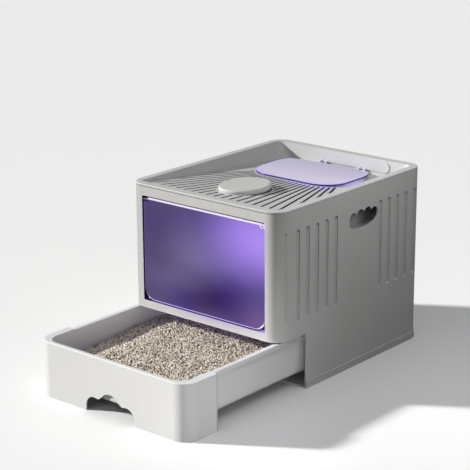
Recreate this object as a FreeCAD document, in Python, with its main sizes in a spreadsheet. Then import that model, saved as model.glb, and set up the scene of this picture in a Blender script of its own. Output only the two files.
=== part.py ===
import FreeCAD, Part
import math
import os
import Sketcher

# Enclosed cat litter box with a pull-out litter drawer, a swing door in front, a slotted sand tray on top
# with a hinged exit lid, and a violet lamp module under an oval cap. Millimetres. X runs to the right,
# Y to the rear and Z up. The origin is the middle of the housing at the flat underside of the base plate.

document = FreeCAD.newDocument("litter_box")
sheet = document.addObject("Spreadsheet::Sheet", "sizes")
sheet_rows = []
nodes = {}
cuts = []


class Size:
    """A length or ratio together with the sheet expression that gives it."""

    def __init__(self, value, text):
        self.value = float(value)
        self.text = text

    def __float__(self):
        return self.value

    def __neg__(self):
        return Size(-self.value, f"(0 - {self.text})")

    def __add__(self, other):
        return Size(self.value + float(other), f"({self.text} + {text_of(other)})")

    def __radd__(self, other):
        return Size(float(other) + self.value, f"({text_of(other)} + {self.text})")

    def __sub__(self, other):
        return Size(self.value - float(other), f"({self.text} - {text_of(other)})")

    def __rsub__(self, other):
        return Size(float(other) - self.value, f"({text_of(other)} - {self.text})")

    def __mul__(self, other):
        return Size(self.value * float(other), f"({self.text} * {text_of(other)})")

    def __rmul__(self, other):
        return Size(float(other) * self.value, f"({text_of(other)} * {self.text})")

    def __truediv__(self, other):
        return Size(self.value / float(other), f"({self.text} / {text_of(other)})")

    def __rtruediv__(self, other):
        return Size(float(other) / self.value, f"({text_of(other)} / {self.text})")


def text_of(number):
    """The expression text of a size or of a plain number."""
    return number.text if isinstance(number, Size) else f"({float(number)})"


def root(number):
    """Square root of a size."""
    return Size(math.sqrt(float(number)), f"sqrt({number.text})")


def size(alias, value, meaning):
    """Write one driving dimension into the sheet and hand it back."""
    row = len(sheet_rows) + 1
    sheet_rows.append(alias)
    sheet.set(f"A{row}", meaning)
    sheet.set(f"B{row}", str(value))
    sheet.setAlias(f"B{row}", alias)
    return Size(value, f"sizes.{alias}")


# Housing
body_width = size("body_width", 410, "Housing width over its side panels")
body_depth = size("body_depth", 510, "Housing depth over the front frame and the rear panel")
body_height = size("body_height", 398, "Height of the top tray's rim above the floor")
corner_radius = size("corner_radius", 35, "Plan radius of the four upright corners")
panel_wall = size("panel_wall", 3.2, "Wall of the moulded panels")
slab = size("slab", 13.5, "Depth of the front frame and of the rear panel")
notch_depth = size("notch_depth", 90.5, "Step in the side panels that takes the drawer front")
frame_bottom = size("frame_bottom", 122, "Underside of the front frame above the floor")
fit_gap = size("fit_gap", 0.3, "Gap round pieces that drop or slide into place")

# Base plate
base_floor = size("base_floor", 3, "Floor of the base plate")
flange_height = size("flange_height", 15, "Height of the base plate's outer flange")
flange_wall = size("flange_wall", 2, "Wall of the base plate's outer flange")
boss_radius = size("boss_radius", 5, "Radius of the screw bosses on the side panels")
boss_height = size("boss_height", 11, "Height of the screw bosses above the base floor")
boss_inset = size("boss_inset", 4.6, "Middle of a screw boss in from the panel's inner face")
boss_front = size("boss_front", 30, "First screw boss behind the step in the side panel")
boss_rear = size("boss_rear", 60, "Last screw boss ahead of the housing's rear face")

# Front opening and swing door
jamb_width = size("jamb_width", 36.5, "Doorway's side in from the housing's side")
sill_height = size("sill_height", 17, "Sill of the doorway above the front frame's underside")
head_drop = size("head_drop", 25, "Head of the doorway below the rim")
opening_radius = size("opening_radius", 4, "Radius of the doorway's lower corners")
opening_top_radius = size("opening_top_radius", 4, "Radius of the doorway's upper corners")
jamb_wall = size("jamb_wall", 3, "Wall round the doorway")
door_gap = size("door_gap", 2.5, "Gap between the door and the doorway")
door_head_gap = size("door_head_gap", 4.5, "Gap above the door")
door_thickness = size("door_thickness", 4, "Thickness of the door")
door_setback = size("door_setback", 2.5, "Door face behind the housing's front face")
door_radius = size("door_radius", 27, "Radius of the door's lower corners")
door_axis_drop = size("door_axis_drop", 4.5, "Pivot axis below the door's top edge")
door_knuckle_radius = size("door_knuckle_radius", 3.6, "Radius of the door's pivot knuckles")
door_knuckle_length = size("door_knuckle_length", 12, "Length of a door knuckle")
pivot_radius = size("pivot_radius", 1.5, "Radius of the door's and the lid's pivot pins")
pivot_play = size("pivot_play", 0.08, "Radial running clearance on a pivot pin")

# Flutes of the side panels
flute_width = size("flute_width", 12.5, "Width of a flute")
flute_depth = size("flute_depth", 2.2, "Depth of a flute")
flute_foot = size("flute_foot", 34.5, "Lower end of the flutes above the front frame's underside")
flute_drop = size("flute_drop", 45.2, "Upper end of the flutes below the rim")
flute_front_start = size("flute_front_start", 61, "First front flute behind the front face")
flute_rear_end = size("flute_rear_end", 35.2, "Last rear flute ahead of the rear face")
flute_pitch = size("flute_pitch", 32, "Spacing of the flutes")
flute_count = 5
flute_end_radius = size("flute_end_radius", 6.1, "Radius of a flute's ends, just under half its width")

# Carrying handles
handle_shift = size("handle_shift", -19, "Front end of the handle recess from the housing's middle")
handle_length = size("handle_length", 101, "Length of the handle recess")
handle_drop = size("handle_drop", 88, "Lowest point of the handle recess below the rim")
handle_height = size("handle_height", 37, "Height of the handle recess at its highest lobe")
handle_depth = size("handle_depth", 18, "Depth of the handle recess from the panel's face")
cup_wall = size("cup_wall", 2.5, "Wall of the handle cup")

# Points round the handle recess as shares of its length and height, each with the radius, as a share of
# the length, of the arc that follows it, or 0 before a straight run
handle_shape = [
    (0, 0.32, 0),
    (0, 0.30, 0.14),
    (0.14, 0.02, 1.4),
    (0.78, 0.05, 0.26),
    (1, 0.40, 0),
    (1, 0.66, 0.13),
    (0.775, 0.80, 0.145),
    (0.515, 0.83, 0.145),
    (0.25, 0.75, 0.135),
    (0, 0.64, 0),
]

# Top tray
rim_thickness = size("rim_thickness", 5, "Edge thickness of the tray's rim")
rim_width = size("rim_width", 18, "Width of the tray's rim at the front and the sides")
rim_rear_width = size("rim_rear_width", 20, "Width of the tray's rim at the rear")
rim_round = size("rim_round", 1.6, "Rounding of the rim's outer edge")
tray_wall = size("tray_wall", 3, "Wall of the top tray")
tray_front_depth = size("tray_front_depth", 5, "Depth of the tray floor below the rim at its front edge")
tray_slope = size("tray_slope", 0.068, "Fall of the tray floor to the rear, per unit length")
tray_flare = size("tray_flare", 0.65, "Lean of the tray's side walls, per unit depth")
tray_corner = size("tray_corner", 14, "Radius of the tray's rear corners")
skirt_height = size("skirt_height", 8, "Locating skirt under the rim")
skirt_wall = size("skirt_wall", 2, "Wall of the locating skirt")
slot_width = size("slot_width", 5.5, "Width of a sand slot")
slot_centre = size("slot_centre", 30, "Point that the sand slots fan from, behind the rear face")
slot_angle = size("slot_angle", 2.36, "Angle between sand slots in degrees")
slot_front = size("slot_front", 21, "Front ends of the slots behind the tray's front edge")
slot_side = size("slot_side", 14, "Slot ends from the foot of the side walls")
slot_margin = size("slot_margin", 5, "Plain band round the lid")
slots_each_side = 11
slot_start = size("slot_start", 150, "Rear ends of the slots from the point that they fan from, at least")
slot_cap_margin = size("slot_cap_margin", 1.2, "Plain band round the oval cap's well")

# Exit lid and its hinge
lid_length = size("lid_length", 198.5, "Front edge of the exit lid ahead of its hinge axis")
lid_front_half = size("lid_front_half", 62, "Half of the lid's straight front edge")
lid_corner = size("lid_corner", 58, "Radius of the lid's front corners")
lid_shoulder = size("lid_shoulder", 88.5, "Where the lid's sides begin to close in, ahead of its hinge axis")
lid_rear_radius = size("lid_rear_radius", 90, "Radius of the lid's rear shoulders")
lid_rear = size("lid_rear", 6.5, "Rear edge of the lid ahead of its hinge axis")
lid_thickness = size("lid_thickness", 3.5, "Thickness of the lid")
lid_rise = size("lid_rise", 0.5, "Lid's underside above the highest tray floor that it covers")
lid_crease = size("lid_crease", 49.5, "Where the lid bends down to its hinge, ahead of the hinge axis")
hinge_set = size("hinge_set", 6.5, "Lid hinge axis ahead of the tray's rear wall")
hinge_drop = size("hinge_drop", 32, "Lid hinge axis below the rim")
hinge_spread = size("hinge_spread", 108, "Distance between the two lid knuckles")
knuckle_radius = size("knuckle_radius", 3.8, "Radius of a lid knuckle")
knuckle_length = size("knuckle_length", 12, "Length of a lid knuckle")
lug_width = size("lug_width", 4, "Width of a hinge lug")
lug_gap = size("lug_gap", 0.4, "Side play between a knuckle and its lugs")
collar_inset = size("collar_inset", 9, "Exit collar inside the lid's outline")
collar_wall = size("collar_wall", 3, "Wall of the exit collar")
collar_depth = size("collar_depth", 43, "Lower edge of the exit collar below the rim")
plate_left = size("plate_left", 66, "Left end of the hinge plate from the middle")
plate_right = size("plate_right", 127, "Right end of the hinge plate from the middle")
plate_height = size("plate_height", 25, "Height of the hinge plate")
plate_drop = size("plate_drop", 4, "Upper edge of the hinge plate below the rim")
plate_thickness = size("plate_thickness", 2, "Thickness of the hinge plate")
plate_end_radius = size("plate_end_radius", 12, "Radius of the hinge plate's ends, just under half its height")
lug_foot = size("lug_foot", 3.6, "Foot of a hinge lug above the hinge plate's lower edge")

# Lamp module under its oval cap
cap_width = size("cap_width", 103, "Width of the oval cap")
cap_length = size("cap_length", 126, "Length of the oval cap")
cap_end_radius = size("cap_end_radius", 46, "Radius of the oval's two ends")
cap_place = size("cap_place", 140, "Middle of the oval cap behind the front face")
cap_drop = size("cap_drop", 1, "Top of the oval cap below the rim")
cap_thickness = size("cap_thickness", 9, "Height of the oval cap")
cap_round = size("cap_round", 4, "Rounding of the cap's top edge")
cap_play = size("cap_play", 1, "Gap between the cap and the hole in the tray")
module_wall = size("module_wall", 2, "Wall of the lamp housing")
module_height = size("module_height", 31.5, "Height of the lamp housing under its cap")
seat_thickness = size("seat_thickness", 2.5, "Thickness of the seat in the tray's lamp well")
seat_width = size("seat_width", 5, "Width of the seat in the tray's lamp well")
lens_radius = size("lens_radius", 26, "Radius of the lamp lens")
lens_thickness = size("lens_thickness", 3, "Thickness of the lamp lens")
board_width = size("board_width", 50, "Width of the circuit board")
board_length = size("board_length", 80, "Length of the circuit board")
board_thickness = size("board_thickness", 1.6, "Thickness of the circuit board")
board_height = size("board_height", 7, "Circuit board above the lamp housing's floor")
post_radius = size("post_radius", 2.6, "Radius of the posts under the board")
led_side = size("led_side", 3.5, "Side of one lamp chip")
led_height = size("led_height", 1.4, "Height of one lamp chip")
battery_radius = size("battery_radius", 7, "Radius of the battery cell")
battery_length = size("battery_length", 50, "Length of the battery cell")
socket_width = size("socket_width", 9, "Width of the charging socket")
socket_height = size("socket_height", 3.4, "Height of the charging socket")
socket_length = size("socket_length", 7.5, "Length of the charging socket")

# Drawer
drawer_out = size("drawer_out", 282, "How far the drawer is pulled out as shown")
drawer_proud = size("drawer_proud", 1, "Drawer front proud of each side of the housing")
drawer_gap = size("drawer_gap", 1, "Gap between the drawer front and the front frame")
drawer_foot = size("drawer_foot", 0.5, "Lower edge of the drawer front above the floor")
front_wall = size("front_wall", 3, "Wall of the drawer front")
front_cap = size("front_cap", 1.8, "Thickness of the drawer front's top over the tray lip")
front_round = size("front_round", 1.5, "Rounding of the drawer front's top edge")
pull_half = size("pull_half", 67, "Half width of the pull cut-out at the floor")
pull_top = size("pull_top", 49.5, "Top of the pull cut-out above the floor")
# Points round the pull cut-out as shares of its half width and its top, each with the radius, as a share
# of the half width, and the turn of the arc that follows it, or 0 before a straight run
pull_shape = [
    (1, 0, 0, 0),
    (0.985, 0.36, 0.34, 1),
    (0.76, 0.66, 0.5, 1),
    (0.504, 0.6402, 0.6, -1),
    (0.3, 0.847, 0.42, 1),
    (0, 1, 0.42, 1),
    (-0.3, 0.847, 0.6, -1),
    (-0.504, 0.6402, 0.5, 1),
    (-0.76, 0.66, 0.34, 1),
    (-0.985, 0.36, 0, 0),
    (-1, 0, 0, 0),
]
tray_side_gap = size("tray_side_gap", 15.5, "Litter tray's upper wall in from the housing's side")
tray_taper = size("tray_taper", 1.5, "How far each wall of the litter tray leans in over its height")
tray_inset = size("tray_inset", 6, "Litter tray behind the drawer's front face")
tray_rear_gap = size("tray_rear_gap", 20, "Litter tray's rear wall ahead of the housing's rear face when shut")
tray_bottom = size("tray_bottom", 29, "Underside of the litter tray above the floor")
tray_plan_radius = size("tray_plan_radius", 30, "Plan radius of the litter tray's corners")
tray_foot_round = size("tray_foot_round", 9, "Rounding round the litter tray's floor")
foot_steps = (0, 30, 60, 90)
litter_wall = size("litter_wall", 3, "Wall of the litter tray")
lip_reach = size("lip_reach", 6.9, "Reach of the litter tray's lip beyond its wall")
lip_drop = size("lip_drop", 9.2, "Height of the litter tray's turned-down lip")
lip_wall = size("lip_wall", 2.5, "Wall of the litter tray's lip")
litter_edge_drop = size("litter_edge_drop", 39, "Litter level at the tray's walls below the drawer's top")
litter_crown_drop = size("litter_crown_drop", 28, "Crown of the litter heap below the drawer's top")
litter_slope = size("litter_slope", 50, "Width of the slope round the litter's crown")
shoulder_rise = size("shoulder_rise", 0.6, "Rise of the litter's shoulder as a share of its crown's")
shoulder_share = size("shoulder_share", 0.45, "Place of the litter's shoulder as a share of the slope's width")

# Drawer rails
rail_gap = size("rail_gap", 0.5, "Gap between the tray's lip and the rail shelves")
rail_shelf = size("rail_shelf", 3, "Thickness of a rail shelf")
rail_clear = size("rail_clear", 2.1, "Gap between the litter tray's wall and the rail shelves")
rail_side_play = size("rail_side_play", 1.2, "Side play of the tray's lip in the rails")
rail_setback = size("rail_setback", 2, "Front end of the rails behind the step in the side panels")
rail_end = size("rail_end", 37.5, "Rear end of the rails ahead of the housing's rear face")

rail_screw_inset = size("rail_screw_inset", 38, "Outer rail screws in from the ends of a rail")

# Screws
screw_radius = size("screw_radius", 1.5, "Radius of a screw shank")
head_radius = size("head_radius", 3, "Radius of a screw head")
head_height = size("head_height", 1.6, "Height of a screw head")
base_screw_length = size("base_screw_length", 10, "Length of the screws in the base plate")
rail_screw_length = size("rail_screw_length", 4.2, "Length of the screws in the drawer rails")
front_screw_length = size("front_screw_length", 7, "Length of the screws in the drawer front")
front_screw_height = size("front_screw_height", 62, "Drawer front screws above the floor")
front_screw_spread = size("front_screw_spread", 150, "Outer drawer front screws from the middle")

# Places worked out from the driving dimensions
half_width = body_width / 2
half_depth = body_depth / 2
front = -half_depth
rear = half_depth
rim_under = body_height - rim_thickness
frame_rear = front + slab
panel_rear = rear - slab
step_place = front + notch_depth
corner_middle = half_width - corner_radius
inner_radius = corner_radius - panel_wall
basin_front = front + rim_width
basin_rear = rear - rim_rear_width
opening_width = body_width - 2 * jamb_width
opening_bottom = frame_bottom + sill_height
opening_top = body_height - head_drop
flute_bottom = frame_bottom + flute_foot
flute_top = body_height - flute_drop
flute_rear_start = body_depth - flute_rear_end - flute_pitch * (flute_count - 1)
handle_start = half_depth + handle_shift
handle_bottom = body_height - handle_drop
hinge_axis = basin_rear - hinge_set
hinge_height = body_height - hinge_drop
lid_front_edge = hinge_axis - lid_length
lid_rear_edge = hinge_axis - lid_rear
lid_crease_line = hinge_axis - lid_crease
lid_shoulder_line = hinge_axis - lid_shoulder
collar_bottom = body_height - collar_depth
plate_top = body_height - plate_drop
plate_bottom = plate_top - plate_height
cap_top = body_height - cap_drop
module_seat = cap_top - cap_thickness - module_height
drawer_width = body_width + 2 * drawer_proud
drawer_top = frame_bottom - drawer_gap
drawer_return = notch_depth - fit_gap
tray_half_top = half_width - tray_side_gap
tray_half_bottom = tray_half_top - tray_taper
tray_length = body_depth - tray_inset - tray_rear_gap
lip_half = tray_half_top + lip_reach
litter_edge = drawer_top - litter_edge_drop
litter_crown = drawer_top - litter_crown_drop
rail_reach = tray_half_top + rail_clear
rail_start = notch_depth + rail_setback
rail_length = body_depth - rail_start - rail_end
door_top = opening_top - door_head_gap
door_axis_height = door_top - door_axis_drop
door_axis_place = front + door_setback + door_thickness / 2
door_half = opening_width / 2 - door_gap


def bind(item, path, number):
    """Give a property its value as an expression on the sheet."""
    item.setExpression(path, text_of(number))


def floor_height(place):
    """Top of the sloping tray floor above the ground at a place along Y."""
    return body_height - tray_front_depth - tray_slope * (place - basin_front)


def new_body(name):
    """A body that becomes one node."""
    body = document.addObject("PartDesign::Body", name)
    body.Label = name
    nodes[name] = body
    return body


def sketch_on(body, role, offset=0):
    """An empty sketch on one of the body's own origin planes, moved along the plane's normal."""
    sketch = body.newObject("Sketcher::SketchObject", body.Name + "_sketch")
    plane = [item for item in body.Origin.OriginFeatures if item.Role == role][0]
    sketch.AttachmentSupport = (plane, [""])
    sketch.MapMode = "FlatFace"
    bind(sketch, "AttachmentOffset.Base.z", offset)
    return sketch


def point_holds(edge, end, x, y):
    """Constraints that hold an edge's end at x, y from the sketch's origin, each with its size."""
    across = Sketcher.Constraint("DistanceX", -1, 1, edge, end, float(x))
    along = Sketcher.Constraint("DistanceY", -1, 1, edge, end, float(y))
    return [(across, x), (along, y)]


def hold(sketch, pairs):
    """Add constraints in one go and tie each datum to its size."""
    first = sketch.ConstraintCount
    sketch.addConstraint([constraint for constraint, number in pairs])
    for index, (constraint, number) in enumerate(pairs, first):
        if number is not None:
            sketch.setExpression(f"Constraints[{index}]", text_of(number))


def arc_geometry(start, stop, radius, turn):
    """The shorter arc of a radius from start to stop; turn is 1 anticlockwise, -1 clockwise."""
    chord = stop - start
    rise = math.sqrt(max(radius ** 2 - (chord.Length / 2) ** 2, 0.0))
    across = FreeCAD.Vector(-chord.y, chord.x, 0).normalize()
    centre = (start + stop) / 2 + across * (rise * turn)
    first, last = (start, stop) if turn > 0 else (stop, start)
    angles = [math.atan2(point.y - centre.y, point.x - centre.x) for point in (first, last)]
    return Part.ArcOfCircle(Part.Circle(centre, FreeCAD.Vector(0, 0, 1), radius), *angles)


def trace(sketch, steps):
    """Draw a closed outline. A step is (x, y) before a straight run, or (x, y, radius, turn) before an arc."""
    first = sketch.GeometryCount
    count = len(steps)
    ends = []
    for index, step in enumerate(steps):
        after = steps[(index + 1) % count]
        start = FreeCAD.Vector(float(step[0]), float(step[1]), 0)
        stop = FreeCAD.Vector(float(after[0]), float(after[1]), 0)
        if len(step) == 2:
            sketch.addGeometry(Part.LineSegment(start, stop))
            ends.append((1, 2))
        else:
            sketch.addGeometry(arc_geometry(start, stop, float(step[2]), step[3]))
            ends.append((1, 2) if step[3] > 0 else (2, 1))
    pairs = []
    for index, step in enumerate(steps):
        edge = first + index
        after = (index + 1) % count
        joint = Sketcher.Constraint("Coincident", edge, ends[index][1], first + after, ends[after][0])
        pairs.append((joint, None))
        pairs += point_holds(edge, ends[index][0], step[0], step[1])
        if len(step) > 2:
            pairs.append((Sketcher.Constraint("Radius", edge, float(step[2])), step[2]))
    hold(sketch, pairs)
    return sketch


def trace_circle(sketch, x, y, radius):
    """Draw one circle."""
    place = FreeCAD.Vector(float(x), float(y), 0)
    edge = sketch.addGeometry(Part.Circle(place, FreeCAD.Vector(0, 0, 1), float(radius)))
    radius_hold = Sketcher.Constraint("Radius", edge, float(radius))
    hold(sketch, point_holds(edge, 3, x, y) + [(radius_hold, radius)])
    return sketch


def rectangle(x0, y0, x1, y1):
    """Outline of a plain rectangle."""
    return [(x0, y0), (x1, y0), (x1, y1), (x0, y1)]


def round_rectangle(x0, y0, x1, y1, lower, upper=None):
    """Outline of a rectangle with rounded corners; upper is the radius of the two corners at y1."""
    upper = lower if upper is None else upper
    return [
        (x0 + lower, y0),
        (x1 - lower, y0, lower, 1),
        (x1, y0 + lower),
        (x1, y1 - upper, upper, 1),
        (x1 - upper, y1),
        (x0 + upper, y1, upper, 1),
        (x0, y1 - upper),
        (x0, y0 + lower, lower, 1),
    ]


def oval(half_across, half_along, end_radius, x, y):
    """Outline of an oval made of two end arcs and two side arcs that meet in tangent."""
    reach = half_along - end_radius
    side_radius = (half_across * half_across + reach * reach - end_radius * end_radius) / (
        2 * (half_across - end_radius)
    )
    share = side_radius / (side_radius - end_radius)
    meet_x = (side_radius - half_across) * (share - 1)
    meet_y = reach * share
    return [
        (x + meet_x, y - meet_y, side_radius, 1),
        (x + meet_x, y + meet_y, end_radius, 1),
        (x, y + half_along, end_radius, 1),
        (x - meet_x, y + meet_y, side_radius, 1),
        (x - meet_x, y - meet_y, end_radius, 1),
        (x, y - half_along, end_radius, 1),
    ]


def pad(body, sketch, length, along=1, both=False):
    """Grow the sketch; along is 1 with the plane's normal and -1 against it."""
    feature = body.newObject("PartDesign::Pad", body.Name + "_pad")
    feature.Profile = sketch
    bind(feature, "Length", length)
    feature.Reversed = along < 0
    feature.Midplane = both
    return feature


def pocket(body, sketch, length, along=1, both=False):
    """Cut the sketch into the body; along is 1 with the plane's normal and -1 against it."""
    feature = body.newObject("PartDesign::Pocket", body.Name + "_pocket")
    feature.Profile = sketch
    bind(feature, "Length", length)
    feature.Reversed = along > 0
    feature.Midplane = both
    cuts.append(feature)
    return feature


def repeat_along_y(body, feature, pitch, count):
    """Repeat a feature towards the rear."""
    pattern = body.newObject("PartDesign::LinearPattern", body.Name + "_pattern")
    pattern.Originals = [feature]
    axis = [item for item in body.Origin.OriginFeatures if item.Role == "Y_Axis"][0]
    pattern.Direction = (axis, [""])
    bind(pattern, "Length", pitch * (count - 1))
    pattern.Occurrences = count
    body.Tip = pattern
    return pattern


def round_edges(body, radius, chosen):
    """Fillet the edges of the body's tip that the test chooses."""
    document.recompute()
    tip = body.Tip
    names = [f"Edge{number}" for number, edge in enumerate(tip.Shape.Edges, 1) if chosen(edge)]
    feature = body.newObject("PartDesign::Fillet", body.Name + "_fillet")
    feature.Base = (tip, names)
    bind(feature, "Radius", radius)
    return feature


def loft(body, kind, sketches):
    """Straight loft through the sketches, added or cut away."""
    feature = body.newObject("PartDesign::" + kind, body.Name + "_loft")
    feature.Profile = sketches[0]
    feature.Sections = sketches[1:]
    feature.Ruled = True
    return feature


def box_of(edge):
    """Bounding box of an edge."""
    return edge.BoundBox


def level(edge, height):
    """Whether the edge lies flat at a height."""
    box = box_of(edge)
    return abs(box.ZMin - float(height)) < 0.01 and abs(box.ZMax - float(height)) < 0.01


def slab_plan(face, inner, half, radius, middle, sense):
    """Plan of a front or rear slab: flat face, two corner arcs cut short by the seam."""
    drop = radius - (inner - face) * sense
    reach = middle + root(radius * radius - drop * drop)
    steps = [
        (-reach, inner),
        (-middle, face),
        (middle, face),
        (reach, inner),
    ]
    turn = 1 if sense > 0 else -1
    return [
        steps[0] + (radius, turn),
        steps[1],
        steps[2] + (radius, turn),
        steps[3],
    ]


def make_slab(name, sense, bottom):
    """Shell of the front frame or the rear panel, hollow on its inner side."""
    body = new_body(name)
    face = front if sense > 0 else rear
    seam = frame_rear if sense > 0 else panel_rear
    plan = sketch_on(body, "XY_Plane", bottom)
    trace(plan, slab_plan(face, seam, half_width, corner_radius, corner_middle, sense))
    pad(body, plan, rim_under - bottom)
    inner_face = face + panel_wall * sense
    hollow = sketch_on(body, "XY_Plane", bottom + panel_wall)
    trace(hollow, slab_plan(inner_face, seam, half_width, inner_radius, corner_middle, sense))
    pocket(body, hollow, rim_under - bottom - panel_wall)
    return body


def make_front_frame():
    """Front frame: hollow slab with a walled doorway and holes for the door's pivot pins."""
    body = make_slab("front_frame", 1, frame_bottom)
    half = opening_width / 2
    surround = sketch_on(body, "XZ_Plane", -frame_rear)
    trace(surround, round_rectangle(
        -half - jamb_wall, opening_bottom - jamb_wall, half + jamb_wall, opening_top + jamb_wall,
        opening_radius + jamb_wall, opening_top_radius + jamb_wall))
    pad(body, surround, slab - panel_wall / 2)
    doorway = sketch_on(body, "XZ_Plane", -frame_rear)
    trace(doorway, round_rectangle(
        -half, opening_bottom, half, opening_top, opening_radius, opening_top_radius))
    pocket(body, doorway, slab, 1)
    pins = sketch_on(body, "YZ_Plane")
    trace_circle(pins, door_axis_place, door_axis_height, pivot_radius)
    pocket(body, pins, opening_width + 2 * jamb_wall, both=True)


def make_rear_panel():
    """Rear panel: the same slab without a doorway, down to the base plate."""
    make_slab("rear_panel", -1, base_floor)


def handle_outline():
    """Cloud-shaped recess: straight front end, curved underside and four lobes on top."""
    left = front + handle_start
    return [
        (left + step[0] * handle_length, handle_bottom + step[1] * handle_height) + (
            (step[2] * handle_length, 1) if step[2] else ())
        for step in handle_shape
    ]


def make_side_panel(name, side):
    """Side panel with its share of the corners, the drawer step, flutes, handle window and screw bosses."""
    body = new_body(name)
    reach = corner_middle + root(
        corner_radius * corner_radius - (corner_radius - slab) * (corner_radius - slab))
    inner_reach = corner_middle + root(
        inner_radius * inner_radius - (corner_radius - slab) * (corner_radius - slab))
    inner = half_width - panel_wall
    plan = sketch_on(body, "XY_Plane", base_floor)
    trace(plan, [
        (side * inner_reach, frame_rear),
        (side * reach, frame_rear, corner_radius, side),
        (side * half_width, front + corner_radius),
        (side * half_width, rear - corner_radius, corner_radius, side),
        (side * reach, panel_rear),
        (side * inner_reach, panel_rear, inner_radius, -side),
        (side * inner, rear - corner_radius),
        (side * inner, front + corner_radius, inner_radius, -side),
    ])
    pad(body, plan, rim_under - base_floor)
    step = sketch_on(body, "YZ_Plane", side * (half_width + panel_wall))
    trace(step, rectangle(front - panel_wall, 0, step_place, frame_bottom))
    pocket(body, step, body_width / 4, -side)
    half = flute_width / 2
    for start in (flute_front_start, flute_rear_start):
        flute = sketch_on(body, "YZ_Plane", side * half_width)
        middle = front + start
        trace(flute, round_rectangle(middle - half, flute_bottom, middle + half, flute_top, flute_end_radius))
        repeat_along_y(body, pocket(body, flute, flute_depth, -side), flute_pitch, flute_count)
    window = sketch_on(body, "YZ_Plane", side * (half_width + panel_wall))
    trace(window, handle_outline())
    pocket(body, window, 3 * panel_wall, -side)
    bosses = sketch_on(body, "XY_Plane", base_floor)
    holes = sketch_on(body, "XY_Plane", base_floor)
    for place in base_screw_places():
        trace_circle(bosses, side * (inner - boss_inset), place, boss_radius)
        trace_circle(holes, side * (inner - boss_inset), place, screw_radius)
    pad(body, bosses, boss_height)
    pocket(body, holes, base_screw_length)
    pilots = sketch_on(body, "YZ_Plane", side * inner)
    for place in rail_screw_places():
        trace_circle(pilots, place, rail_middle(), screw_radius)
    pocket(body, pilots, rail_screw_depth(), side)
    return body


def base_screw_places():
    """Y of the three screws along each side of the base plate."""
    first = step_place + boss_front
    last = rear - boss_rear
    return [first, (first + last) / 2, last]


def rail_screw_places():
    """Y of the three screws in each drawer rail."""
    first = front + rail_start + rail_screw_inset
    last = front + rail_start + rail_length - rail_screw_inset
    return [first, (first + last) / 2, last]


def lip_top():
    """Top of the litter tray's lip above the floor."""
    return drawer_top - front_cap


def rail_middle():
    """Height of the middle of the rail's web."""
    return lip_top() - lip_drop / 2


def web_face():
    """Inner face of the rail's web from the middle."""
    return lip_half + rail_side_play


def rail_screw_depth():
    """How far a rail screw enters the side panel."""
    return rail_screw_length - (half_width - panel_wall - web_face() - head_height)


def make_base_plate():
    """Base plate: flat pan with a low flange that the panels stand in."""
    body = new_body("base_plate")
    over = fit_gap + flange_wall
    wide = half_width + over
    back = rear + over
    round_out = corner_radius + over
    plan = sketch_on(body, "XY_Plane")
    trace(plan, [
        (-wide, step_place),
        (wide, step_place),
        (wide, back - round_out, round_out, 1),
        (wide - round_out, back),
        (round_out - wide, back, round_out, 1),
        (-wide, back - round_out),
    ])
    pad(body, plan, flange_height)
    round_in = corner_radius + fit_gap
    inside = sketch_on(body, "XY_Plane", base_floor)
    trace(inside, [
        (-half_width - fit_gap, step_place + flange_wall),
        (half_width + fit_gap, step_place + flange_wall),
        (half_width + fit_gap, rear - corner_radius, round_in, 1),
        (corner_middle, rear + fit_gap),
        (-corner_middle, rear + fit_gap, round_in, 1),
        (-half_width - fit_gap, rear - corner_radius),
    ])
    pocket(body, inside, flange_height)
    mouth = sketch_on(body, "XY_Plane", base_floor)
    trace(mouth, rectangle(-half_width - fit_gap, step_place - 1, half_width + fit_gap,
                           step_place + 2 * flange_wall))
    pocket(body, mouth, flange_height)
    holes = sketch_on(body, "XY_Plane")
    seats = sketch_on(body, "XY_Plane")
    for side in (-1, 1):
        for place in base_screw_places():
            across = side * (half_width - panel_wall - boss_inset)
            trace_circle(holes, across, place, screw_radius)
            trace_circle(seats, across, place, head_radius + fit_gap)
    pocket(body, holes, base_floor)
    pocket(body, seats, head_height)


def make_handle_cup(name, side):
    """Handle cup: closed well behind the handle window, clipped to the panel's inner face."""
    body = new_body(name)
    inner = half_width - panel_wall
    depth = handle_depth - panel_wall
    shell = sketch_on(body, "YZ_Plane", side * inner)
    trace(shell, round_rectangle(
        front + handle_start - cup_wall, handle_bottom - cup_wall,
        front + handle_start + handle_length + cup_wall, handle_bottom + handle_height + cup_wall,
        handle_height / 3))
    pad(body, shell, depth + cup_wall, -side)
    well = sketch_on(body, "YZ_Plane", side * inner)
    trace(well, handle_outline())
    pocket(body, well, depth, -side)


def make_drawer_rail(name, side):
    """Drawer rail: channel on the side panel that the litter tray's lip runs in."""
    body = new_body(name)
    outer = half_width - panel_wall
    low = lip_top() - lip_drop - rail_gap
    high = lip_top() + rail_gap
    profile = sketch_on(body, "XZ_Plane", -(front + rail_start))
    steps = [
        (rail_reach, low - rail_shelf),
        (outer, low - rail_shelf),
        (outer, high + rail_shelf),
        (rail_reach, high + rail_shelf),
        (rail_reach, high),
        (web_face(), high),
        (web_face(), low),
        (rail_reach, low),
    ]
    trace(profile, [(side * step[0], step[1]) for step in steps])
    pad(body, profile, rail_length, -1)
    for radius, length in ((screw_radius, outer - web_face()), (head_radius + fit_gap, head_height)):
        holes = sketch_on(body, "YZ_Plane", side * web_face())
        for place in rail_screw_places():
            trace_circle(holes, place, rail_middle(), radius)
        pocket(body, holes, length, side)


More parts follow.
